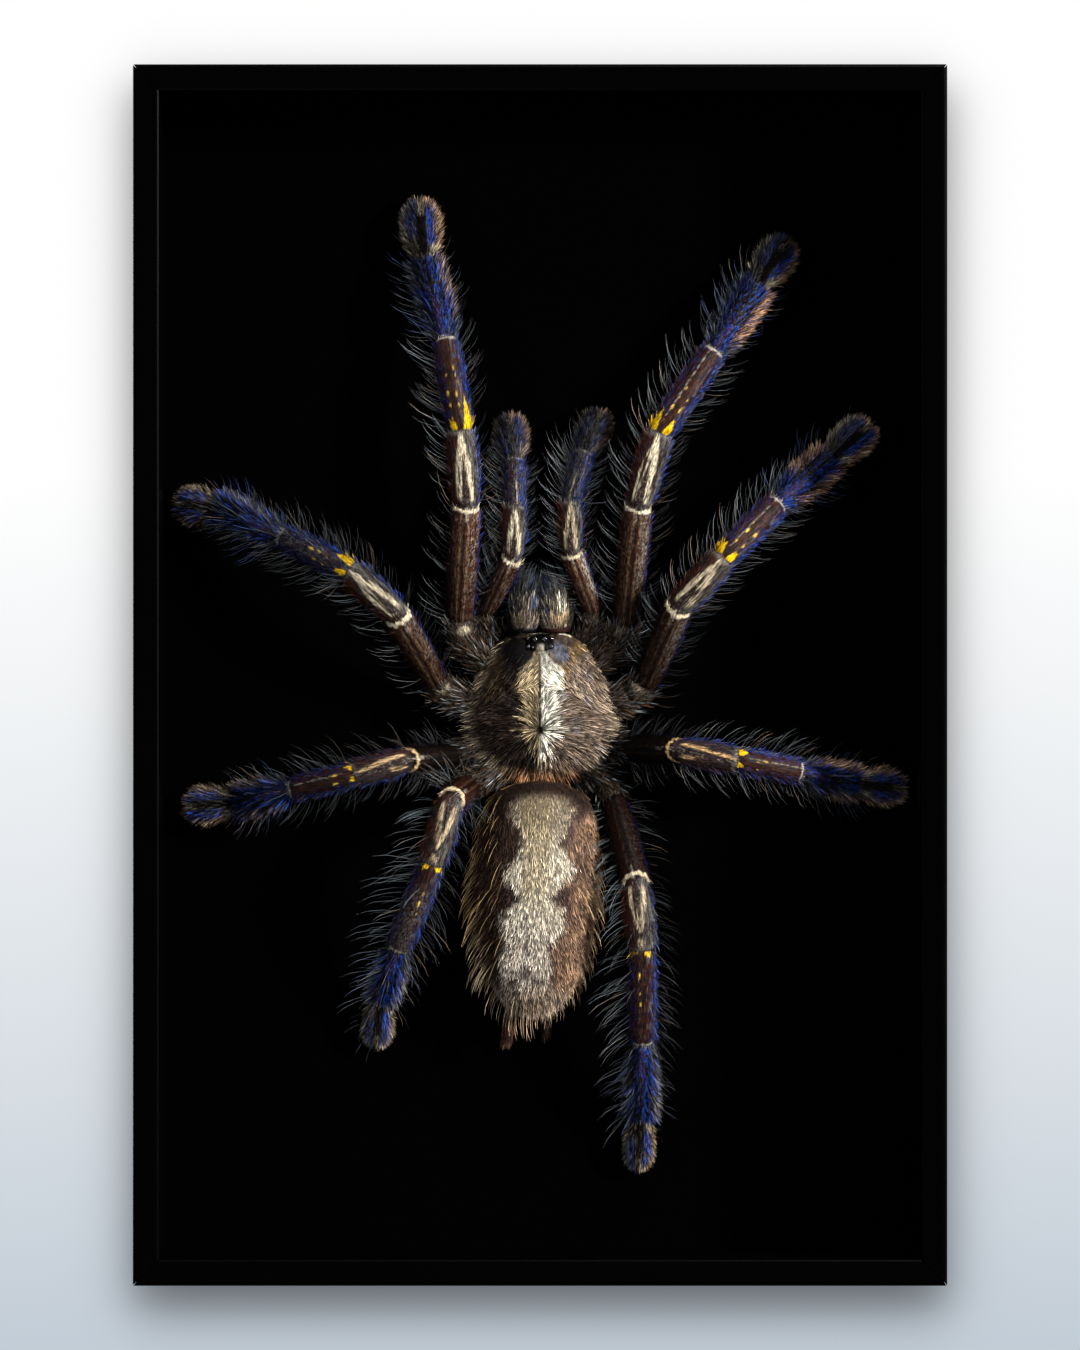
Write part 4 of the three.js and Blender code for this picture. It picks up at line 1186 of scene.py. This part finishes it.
def make_carapace(kit):
    """The carapace, whose hair runs out from the fovea."""
    skin, verts, rho = carapace_skin()
    x, z = verts[:, 0], verts[:, 1]
    coat = carapace_colours(x, z, rho)
    shade = coat * 0.3
    line = bump(rho, 0.982, 0.006, 0.008) * bump(x, 0.8, 3.4, 0.6) * (z > 3)
    paint(shade, lin(236, 220, 194) * 1.2, line)
    coat = tufted(coat, 32)
    # Further out, and most of all at the sides, the hair is swept back.
    fx, fz = x - FOVEA[0], z - FOVEA[1]
    away, angle = np.maximum(np.hypot(fx, fz), 0.3), np.arctan2(fz, fx)
    swirl = angle + 0.5 * (noise(x * 0.5, z * 0.5, 14) - 0.5) * ramp(2.0, 4.0, away)
    inward = ramp(0.0, 1.5, np.abs(x)) * ramp(-8.0, -5.0, z) * ramp(7.0, 2.0, np.abs(x))
    swirl = swirl - 0.4 * np.sign(x) * inward
    back = ramp(4.0, 8.5, away) * (0.3 + 0.6 * ramp(-8.0, -2.0, z)) * (z < 6)
    flow = np.stack([np.cos(swirl), np.sin(swirl), np.where(rho > 0.8, -0.35, 0.0)], 1)
    swept = np.stack([0.5 * np.sign(x), -0.85 + 0 * x], 1)
    flow[:, :2] += (swept - flow[:, :2]) * back[:, None]

    top = rho < 1.5
    mound = np.hypot(x, (z - 4.6) * 1.2)
    front = ramp(5.1, 5.5, z) * ramp(0.93, 0.96, rho)
    bare = np.maximum(ramp(2.3, 1.9, mound) * (1 - bump(x, 0, 0.5, 0.2) * (z < 4.6)), front)
    right_patch, left_patch = eye_patches(x, z)
    smooth = np.maximum(ramp(1.3, 0.9, right_patch), ramp(2.1, 1.0, left_patch) * 0.35)
    rim = ramp(0.86, 0.97, rho) * top
    near_eyes = 1 - 0.6 * ramp(4.2, 2.4, mound)
    haired = top * (1 - bare)
    pale_half = np.arange(len(x)) * 7919 % 10 > 4  # about every other vertex, scattered
    fringe_tint = coat * 0.98
    paint(fringe_tint, lin(196, 178, 146), rim * (0.3 + 0.5 * ramp(1, -1, x)) * pale_half)
    paint(fringe_tint, RUST * 0.8, rim * ramp(-13.0, -14.6, z) * 0.7)
    fringe_length = (1.15 + 0.2 * ramp(2.0, -6.0, z)) * near_eyes + 0.35 * ramp(3.0, -4.0, z) * rim
    fringe = haired * (1 - smooth) * (0.45 + 0.4 * rim)
    setae_tint = coat_of(lin(176, 164, 138), x)
    layers = {
        "down": (haired * (1 - 0.8 * smooth) * 1.15, 0.95 * near_eyes, 0.2, coat * 0.98),
        "fringe": (fringe, fringe_length, 0.2 + 0.2 * rim, fringe_tint),
        "setae": (rim * ramp(5.0, 1.0, z) * 1.1, 1.7 + 0.6 * ramp(0, -6, z), 0.55, setae_tint),
    }
    lay = angle * 26, away * 1.1, 0 * x
    dress(skin, "carapace", 31, "carapace_chitin", kit, shade, lay, flow, layers)


ABDOMEN_AROUND, ABDOMEN_RINGS = 200, 239
ABDOMEN_SMOOTHING = (12, 5.2)  # reach and width, in rings


def abdomen_skin():
    """The abdomen's skin, with each vertex's place across and along it, and angle round it."""
    around = ABDOMEN_AROUND
    stations = np.array(ABDOMEN_STATIONS)
    gone = np.concatenate([[0], np.cumsum(np.hypot(*np.diff(stations, axis=0).T))])
    want = np.linspace(0, gone[-1], ABDOMEN_RINGS + 2)[1:-1]
    z = np.interp(want, gone, stations[:, 0])
    half = np.interp(want, gone, stations[:, 1])
    half = np.pad(half, ABDOMEN_SMOOTHING[0], mode="edge")
    half = np.convolve(half, bell(*ABDOMEN_SMOOTHING), "valid")
    half[0], half[-1] = half[0] * 0.6, half[-1] * 0.6
    angle = np.linspace(-np.pi, np.pi, around, endpoint=False)
    waves = 0.12 * np.sin(z * 0.55) * np.clip(half / 9, 0, 1)
    across = (half + waves)[:, None] * np.sin(angle) + ABDOMEN_LEAN * (ABDOMEN_FRONT - z)[:, None]
    high = ABDOMEN_MID_HEIGHT + (half * ABDOMEN_HEIGHT_SHARE)[:, None] * np.cos(angle)
    rings = np.stack([across, np.repeat(z[:, None], around, 1), high], -1).reshape(-1, 3)
    rear = stations[-1, 0]
    poles = [
        [0, ABDOMEN_FRONT, ABDOMEN_MID_HEIGHT],
        [ABDOMEN_LEAN * (ABDOMEN_FRONT - rear), rear, ABDOMEN_MID_HEIGHT],
    ]
    verts = np.concatenate([rings, poles])
    made = new_piece("abdomen_skin", to_row(verts), tube_faces(len(z), around))
    straight = verts[:, 0] - ABDOMEN_LEAN * (ABDOMEN_FRONT - verts[:, 1])
    return made, straight, verts[:, 1], np.concatenate([np.tile(angle, len(z)), [0.0, 0.0]])


def abdomen_colours(x, z, angle):
    """The abdomen's markings: one colour for each vertex."""
    grain = noise(x * 2.4, z * 1.6, 21)
    coat = coat_of(lin(172, 137, 110), x)

    lay = partial(paint, coat)
    lay(lin(112, 90, 78), ramp(0.4, 0.8, noise(x * 0.8, z * 0.5, 24)) * 0.6)
    # The left flank darkened: painted shade.
    lay(lin(58, 39, 31), ramp(1.0, -3.0, x) * 0.95)
    # The folium, frayed at its edges, with a dark border on the right and spots in it.
    left = at_z(z, FOLIUM) - 0.9 * (grain - 0.5)
    right = at_z(z, FOLIUM, 2) + 0.9 * (grain - 0.5)
    frayed = 1.2 * (np.random.default_rng(43).random(len(x)) - 0.5)
    inside = ramp(-0.4, 0.4, x - left + frayed) * ramp(-0.4, 0.4, right - x + frayed)
    inside = inside * ramp(-16.9, -18.8, z) * ramp(-48.2, -44.5, z)
    border = 0.35 + 0.65 * ramp(0.3, 0.6, noise(x * 0.9, z * 0.45, 27))
    lay(lin(90, 68, 62), bump(x - right, 0.8, 0.8, 0.9) * border * 0.85)
    front, rear = lin(196, 178, 150), lin(250, 238, 214)
    pale = front + (rear - front) * ramp(-20, -28, z)[:, None]
    lay(pale, inside * (0.7 + 0.3 * ramp(0.2, 0.5, grain)))
    lay(lin(214, 192, 142), inside * bump(x, -0.3, 1.2, 1.6) * ramp(-36, -30, z) * 0.5)
    lay(lin(216, 202, 190), inside * ramp(-35, -41, z) * 0.6)
    for spot_x, spot_z, size in FOLIUM_SPOTS:
        away = np.hypot(x - spot_x, (z - spot_z) * 1.2)
        lay(lin(74, 58, 52), ramp(size + 0.9, size - 0.2, away) * 0.85)
    # A pale rear end, a dark front one, and a dark underside.
    lay(lin(176, 158, 138), ramp(-44.5, -48.5, z) * 0.8)
    lay(lin(66, 50, 44), ramp(-18.6, -16.6, z + 0.05 * x * x) * 0.95)
    lay(UMBER * 0.6, ramp(0.0, -0.5, np.cos(angle)))
    return coat


def make_abdomen(kit):
    """The abdomen, whose hair runs back and is longest at its sides and rear."""
    skin, x, z, angle = abdomen_skin()
    high = np.cos(angle)
    coat = abdomen_colours(x, z, angle)
    shade, coat = coat * 0.3, tufted(coat, 42)
    tousle = 0.25 * (noise(x * 0.6, z * 0.6, 15) - 0.5)
    across = 0.5 * (x / 9 * ramp(-16, -34, z)) + tousle
    across += ramp(-18.5, -16.0, z) * np.sign(x) * 0.8
    flow = np.stack([across, -1 + 0 * z, -0.1 * ramp(-40, -50, z)], 1)

    shown = ramp(-0.8, -0.3, high)
    sides = ramp(0.75, 0.97, np.abs(np.sin(angle))) * shown
    tail = ramp(-45.0, -49.0, z) * shown
    left = ramp(1.0, -1.0, x)
    long_tint = coat_of(lin(230, 190, 132), x)
    paint(long_tint, lin(200, 180, 156), ramp(-30, -44, z) * 0.7)
    fringe_tint = coat * 1.1
    paint(fringe_tint, lin(186, 128, 78), ramp(-19.5, -16.5, z) * 0.7)
    flank = (0.15 + 0.08 * left) * ramp(0.3, 0.7, np.abs(x) / 9)
    setae = (sides * (0.22 + 0.1 * left) + 0.5 * tail + flank) * shown
    setae_length = 3.0 + 0.9 * ramp(-20, -40, z) * left - 0.7 * tail
    down = ramp(-0.5, -0.1, high) * (1 - 0.4 * tail) * 1.3
    fringe = shown * (0.22 + 0.05 * sides)
    layers = {
        "down": (down, 0.62, 0.2, coat * 1.3),
        "fringe": (fringe, 0.95 + 0.15 * sides, 0.22 + 0.2 * sides, fringe_tint),
        "setae": (setae, setae_length, 0.36 + 0.26 * left, long_tint),
    }
    bold = {**kit, "shapes": {**kit["shapes"], "setae": kit["shapes"]["long"]}}
    lay = x * 6, z * 1.3, 0 * x
    dress(skin, "abdomen", 41, "abdomen_chitin", bold, shade, lay, flow, layers)


def make_chelicera(side, sign, kit, fang_material):
    """A chelicera and its fang. sign is 1 for the right one, which stands in the light."""

    def simple(name, size):
        mirror = np.array([sign, 1, 1])
        ends = [np.array(size["base"]) * mirror, np.array(size["tip"]) * mirror]
        return limb_skin(name, ends, [COXA], {COXA: size["radii"]})

    name, right = f"{side}_chelicera", sign > 0
    skin, here = simple(name, CHELICERA)
    t, u, top = here["share"], np.sin(here["angle"]), np.cos(here["angle"])
    outer = -u
    spark = np.random.default_rng(50 + sign).random(len(t))
    # lit is the painted light on this chelicera: full on the right one, low on the left one.
    lit = 1.0 if right else 0.4
    ragged = noise(here["arc"] * 2.5, u * 4, 70 + sign)
    coat = coat_of(lin(36, 36, 40), t)

    lay = partial(paint, coat)
    lay(lin(200, 182, 150), ramp(0.58, 0.72, spark) * ramp(0.8, 0.35, t) * (0.4 + 0.6 * lit))
    lay(lin(52, 78, 132), ramp(0.3, 0.15, spark) * ramp(0.5, 0.1, np.abs(outer + 0.5)))
    # Only the right one, in the light, has the pale flame: a painted highlight on pale hair.
    if right:
        flame = bump(outer, 0.42, 0.16, 0.12) * bump(t, 0.43, 0.12, 0.1)
        lay(lin(248, 240, 216) * 1.1, flame * ramp(0.2, 0.4, ragged) * ramp(0.15, 0.3, spark))
    band = bump(t, 0.19 - 0.05 * u * sign, 0.05, 0.07) * bump(u, 0.0, 0.6, 0.2)
    lay(lin(206, 176, 138), band * ramp(0.2, 0.6, ragged) * lit)
    if right:
        lay(lin(60, 34, 30), ramp(0.1, 0.06, t))
    lay(lin(15, 14, 15), ramp(0.72, 1.05, outer + 0.3 * ragged) * (0.8 if right else 0.9))
    # The left one's base painted black with shade.
    if not right:
        lay(lin(15, 14, 15), ramp(0.12, 0.02, t))
    lay(UMBER, ramp(-0.1, -0.5, top))
    inward = np.stack([-0.3 * sign * ramp(0.3, 0.9, t), 0 * t, 0 * t], 1)
    shown = ramp(-0.7, -0.2, top)
    haired = shown * (ramp(0.04, 0.09, t) if right else 1)
    setae_tint = coat_of(SETA * 0.4, t)
    layers = {
        "down": (haired, 0.8, 0.3, coat * 0.8),
        "fringe": (haired * 1.3, 1.1 + 0.8 * t, 0.3, coat),
        "setae": (shown * (0.7 + 3.5 * ramp(0.4, 0.9, t)), 3.2, 0.35, setae_tint),
    }
    lay_of_streaks = here["angle"] * 12, here["arc"] * 1.1, 0 * t
    flow, seed = here["ahead"] + inward, 52 if right else 51
    dress(skin, name, seed, "chelicera_chitin", kit, coat, lay_of_streaks, flow, layers)
    fang, _ = simple(f"{side}_fang", FANG)
    fang.name = fang.data.name = f"{side}_fang"
    finish_piece(fang, fang_material, "chelicera_chitin")


def make_spinneret(name, base, tip, radii, bright, kit):
    """A spinneret. bright scales its colours."""
    skin, here = limb_skin(name, [base, tip], [COXA], {COXA: radii})
    t = here["share"]
    coat = coat_of(lin(62, 36, 26) * bright, t)
    paint(coat, lin(150, 130, 104), ramp(0.92, 1.0, t) * 0.6 * bright)
    shown = ramp(-0.9, -0.5, np.cos(here["angle"]))
    layers = {
        "down": (shown, 0.6, 0.3, coat * 1.2),
        "fringe": (shown * 0.8, 1.2, 0.4, coat * 1.5),
        "setae": (0.0, 1.0, 0.3, coat),
    }
    lay = here["angle"] * 6, here["arc"] * 1.1, 0 * t
    seed = 61 + len(name)
    dress(skin, name, seed, "spinneret_chitin", kit, coat, lay, here["ahead"], layers)


def make_eyes(material):
    """All eight eyes as one piece of small spheres."""
    shape = bmesh.new()
    for x, z, radius in EYES:
        half_x, half_z = CARAPACE_HALF
        edge = math.hypot(x / half_x, (z - CARAPACE_MIDDLE[1]) / half_z)
        rise = carapace_rise(np.array([x]), np.array([z]), np.array([edge]))[0]
        centre = to_row([x, z, CARAPACE_MARGIN + float(rise) + radius * 0.5])
        made = bmesh.ops.create_uvsphere(shape, u_segments=18, v_segments=12, radius=radius * MM)
        bmesh.ops.translate(shape, verts=made["verts"], vec=Vector(centre))
    eyes = piece_from(shape, "eyes")
    eyes.data.shade_smooth()
    finish_piece(eyes, material, "carapace_chitin")


# ---------- the frame ----------


def rounded(corners, radii, steps=4):
    """A polygon, [a, b] corners in order, with each corner cut round by its own radius."""
    out = []
    count = len(corners)
    for i, (corner, radius) in enumerate(zip(corners, radii)):
        here = Vector(corner)
        before = (Vector(corners[i - 1]) - here).normalized()
        after = (Vector(corners[(i + 1) % count]) - here).normalized()
        for k in range(steps + 1):
            s = k / steps
            a, b = here + before * radius * (1 - s) ** 2, after * radius * s**2
            out.append(tuple(a + b))
    return out


def rail_place(name, s, inward):
    """x and z of a place on a rail: s along it, inward from its outer face."""
    half_w = FRAME_WIDTH / 2
    if name == "bottom_rail":
        return s, inward
    if name == "top_rail":
        return -s, FRAME_HEIGHT - inward
    if name == "left_rail":
        return -half_w + inward, FRAME_HEIGHT / 2 - s
    return half_w - inward, FRAME_HEIGHT / 2 + s


def make_rail(name, length, material):
    """A mitred rail, its profile drawn inward from its outer face."""
    corners = [
        (0, REAR_Y), (0, FRONT_Y), (RIM, FRONT_Y), (RIM, BOARD_FACE_Y),
        (REAR_WALL, BOARD_FACE_Y), (REAR_WALL, REAR_Y),
    ]
    soft, sharp = 0.7 * MM, 0.25 * MM
    profile = rounded(corners, [soft, soft, soft, 0.02 * MM, 0.02 * MM, sharp])
    verts, count = [], len(profile)
    for end in (-1, 1):
        for inward, y in profile:
            x, z = rail_place(name, end * (length / 2 - inward - MITRE_GAP), inward)
            verts.append((x, y, z))
    faces = [(i, (i + 1) % count, count + (i + 1) % count, count + i) for i in range(count)]
    faces += [tuple(reversed(range(count))), tuple(range(count, 2 * count))]
    made = new_piece(f"{name}_moulding", np.array(verts), faces, smooth=False)
    finish_piece(made, material, "frame_black", name)


def make_slab(name, low, high, bevel, material, slot, node):
    """A board from corner low to corner high, with eased edges."""
    shape = bmesh.new()
    bmesh.ops.create_cube(shape, size=1)
    bmesh.ops.scale(shape, vec=high - low, verts=shape.verts)
    bmesh.ops.translate(shape, vec=(low + high) / 2, verts=shape.verts)
    edges = shape.edges[:]
    bmesh.ops.bevel(shape, geom=edges, offset=bevel, segments=2, affect="EDGES", profile=0.5)
    finish_piece(piece_from(shape, name), material, slot, node)


def make_hardware(node, material):
    """A steel piece from its solid, merged and with its edges eased."""
    shape = bmesh.new()
    shape.from_mesh(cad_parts[node].data)
    bmesh.ops.remove_doubles(shape, verts=shape.verts, dist=1e-6)
    flat = math.radians(2)
    bmesh.ops.dissolve_limit(shape, angle_limit=flat, verts=shape.verts, edges=shape.edges)
    ease = dict(offset=0.07 * MM, segments=1, affect="EDGES", clamp_overlap=True)
    bmesh.ops.bevel(shape, geom=shape.edges[:], **ease)
    finish_piece(piece_from(shape, f"{node}_steel"), material, "bright_steel", node)


# ---------- the stage ----------

VIEW_DISTANCE = 2.0  # from the camera to the front of the frame
SENSOR = 36.0
PICTURE_HEIGHT = 0.19885  # height of what the camera sees at the front of the frame
WALL_Y = REAR_Y + 1 * MM
FLOOR_Z = -0.4
STAGE_HALF = 2.5  # half the width of the wall and the floor
SHADOW_SLOPE = 1.702 / (3.7 * MM)  # a logistic edge as soft as a blur of 3.7 mm
SHADOW_DROP = 3.5 * MM
SHADOW_DEPTH = 0.53
PALE_TONE = (*lin(195, 205, 215), 1)  # of the floor, and of the wall at the view's lower edge
WALL_WHITE = 30 * MM  # height over the frame's middle from which the wall is white


def empty_material(name):
    made = bpy.data.materials.new(name)
    made.use_nodes = True
    made.node_tree.nodes.clear()
    return made, Net(made.node_tree)


def wall_material():
    """A pale wall, lit evenly, with the frame's soft shadow painted on it. It is clear from behind.
    """
    made, net = empty_material("pale wall")
    object_place = net.add("ShaderNodeTexCoord").outputs["Object"]
    place = net.add("ShaderNodeSeparateXYZ", {0: object_place}).outputs
    low, high = -PICTURE_HEIGHT / 2, WALL_WHITE
    from_middle = net.math("SUBTRACT", place["Z"], CENTRE_Z)
    colour = net.add("ShaderNodeValToRGB", {"Fac": net.span(from_middle, 0.0, 1.0, low, high)})
    foot, head = colour.color_ramp.elements
    foot.color, head.color = PALE_TONE, (1, 1, 1, 1)

    def edge(distance, half):
        """How far a blurred edge has come, from 0 outside to 1 inside."""
        out = net.math("MULTIPLY", net.math("SUBTRACT", distance, half), SHADOW_SLOPE)
        return net.math("DIVIDE", 1.0, net.math("ADD", 1.0, net.math("EXPONENT", out)))

    reach = (VIEW_DISTANCE + WALL_Y - FRONT_Y) / VIEW_DISTANCE
    across = edge(net.math("ABSOLUTE", place["X"]), FRAME_WIDTH / 2 * reach)
    dropped = net.math("ADD", from_middle, SHADOW_DROP)
    upright = edge(net.math("ABSOLUTE", dropped), FRAME_HEIGHT / 2 * reach)
    shade = net.math("MULTIPLY", net.math("MULTIPLY", across, upright), SHADOW_DEPTH)
    light = net.math("POWER", net.math("SUBTRACT", 1.0, shade), 2.2)
    shown = net.vector("SCALE", {"Vector": colour.outputs["Color"], "Scale": light})
    glow = net.add("ShaderNodeEmission", {"Color": shown.outputs["Vector"], "Strength": 1.0})
    clear = net.add("ShaderNodeBsdfTransparent")
    behind = net.add("ShaderNodeNewGeometry").outputs["Backfacing"]
    both = net.add("ShaderNodeMixShader", {0: behind, 1: glow, 2: clear})
    net.add("ShaderNodeOutputMaterial", {"Surface": both})
    return made


def floor_material():
    made, net = empty_material("pale floor")
    glow = net.add("ShaderNodeEmission", {"Color": PALE_TONE, "Strength": 1.0})
    net.add("ShaderNodeOutputMaterial", {"Surface": glow})
    return made


def stage_sheet(name, corners, material):
    """A flat piece of the stage that neither lights nor shades the part."""
    mesh = bpy.data.meshes.new(name)
    mesh.from_pydata(corners, [], [(0, 1, 2, 3)])
    mesh.materials.append(material)
    made = new_object(name, mesh)
    made.visible_diffuse = made.visible_glossy = made.visible_shadow = False
    return made


def make_stage():
    """The wall that the frame hangs on, and a plain pale floor under it."""
    around = [(-STAGE_HALF, -STAGE_HALF), (STAGE_HALF, -STAGE_HALF), (STAGE_HALF, STAGE_HALF)]
    around.append((-STAGE_HALF, STAGE_HALF))
    wall = stage_sheet("wall", [(a, WALL_Y, b) for a, b in around], wall_material())
    floor = stage_sheet("floor", [(a, b, FLOOR_Z) for a, b in around], floor_material())


LIGHTS = [  # name, place, size, watts, colour; each looks at the animal
    ("key", (1.0, -0.75, 0.4), 0.18, 44.0, (1.0, 0.97, 0.93)),
    ("fill", (-0.85, -0.8, 0.3), 0.4, 3.5, (0.82, 0.9, 1.0)),
    ("top", (0.2, -0.5, 1.1), 0.3, 8.0, (0.95, 0.97, 1.0)),
    ("low", (-0.15, -0.7, -0.75), 0.4, 2.0, (0.9, 0.95, 1.0)),
    ("behind", (-0.6, 1.0, 0.5), 1.2, 16.0, (1.0, 1.0, 1.0)),
]


def make_lights():
    aim = Vector((0, 0, CENTRE_Z))
    for name, place, size, watts, colour in LIGHTS:
        data = bpy.data.lights.new(name, "AREA")
        data.shape, data.size, data.energy, data.color = "DISK", size, watts, colour
        light = new_object(name, data)
        light.location = place
        light.rotation_euler = (aim - Vector(place)).to_track_quat("-Z", "Y").to_euler()
        light.visible_camera = False


def make_camera():
    data = bpy.data.cameras.new("camera")
    data.sensor_width = SENSOR
    data.lens = SENSOR * VIEW_DISTANCE / PICTURE_HEIGHT
    data.clip_end = 20
    camera = new_object("camera", data)
    camera.location = (0, FRONT_Y - VIEW_DISTANCE, CENTRE_Z)
    camera.rotation_euler = (math.pi / 2, 0, 0)
    bpy.context.scene.camera = camera


def set_world():
    """Soft even light, and behind everything the same pale tone as the floor's."""
    world = bpy.data.worlds.new("room")
    world.use_nodes = True
    world.node_tree.nodes.clear()
    net = Net(world.node_tree)
    light = net.add("ShaderNodeBackground", {"Color": (0.8, 0.85, 0.9, 1), "Strength": 0.08})
    seen = net.add("ShaderNodeBackground", {"Color": PALE_TONE, "Strength": 1.0})
    looked_at = net.add("ShaderNodeLightPath").outputs["Is Camera Ray"]
    both = net.add("ShaderNodeMixShader", {0: looked_at, 1: light, 2: seen})
    net.add("ShaderNodeOutputWorld", {"Surface": both})
    scene = bpy.context.scene
    scene.world = world
    scene.view_settings.view_transform = "Standard"
    scene.view_settings.look = "None"


# ---------- making everything ----------


def make_frame(made):
    """The rails, the boards and the steel, of the materials in made."""
    for side in ("bottom", "top", "left", "right"):
        length = FRAME_WIDTH if side in ("bottom", "top") else FRAME_HEIGHT
        make_rail(f"{side}_rail", length, made["lacquer"])
    for name, low, high, bevel, look, slot, node in (
        ("velvet_board", BOARD_LOW, BOARD_HIGH, 0.3, "velvet", "velvet_black", "backing_board"),
        ("hardboard_panel", PANEL_LOW, PANEL_HIGH, 0.25, "hardboard", "hardboard", "back_panel"),
    ):
        make_slab(name, low, high, bevel * MM, made[look], slot, node)
    for node in sorted(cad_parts):
        if "hanger" in node or node.endswith("frame_point"):
            make_hardware(node, made["steel"])


def make_animal(made):
    """The tarantula, of the materials in made and of its own."""
    shapes = {name: hair_shape(f"{name}_shape", rows) for name, rows in HAIR_SHAPES.items()}
    kit = dict(
        shapes=shapes,
        tree=coat_tree(),
        material=hair_material(),
        skin_material=skin_material(),
        share=1.0,
    )
    for seed, (name, joints) in enumerate(LEG_JOINTS.items(), 1):
        shape = HIND_LEG_SHAPE if name.endswith("4") else LEG_SHAPE
        make_limb(name, joints, LEG_PARTS, shape, seed, kit)
    for seed, (name, joints) in enumerate(PALP_JOINTS.items(), 21):
        make_limb(name, joints, PALP_PARTS, PALP_SHAPE, seed, kit)
    make_carapace(kit)
    make_abdomen(kit)
    make_chelicera("left", -1, kit, made["fang"])
    make_chelicera("right", 1, kit, made["fang"])
    for name, size in SPINNERETS.items():
        make_spinneret(name, *size, kit)
    make_eyes(made["eye"])
    for shape in shapes.values():
        bpy.data.objects.remove(shape)


plain = plain_materials()
make_frame(plain)
make_animal(plain)
make_stage()
make_lights()
make_camera()
set_world()
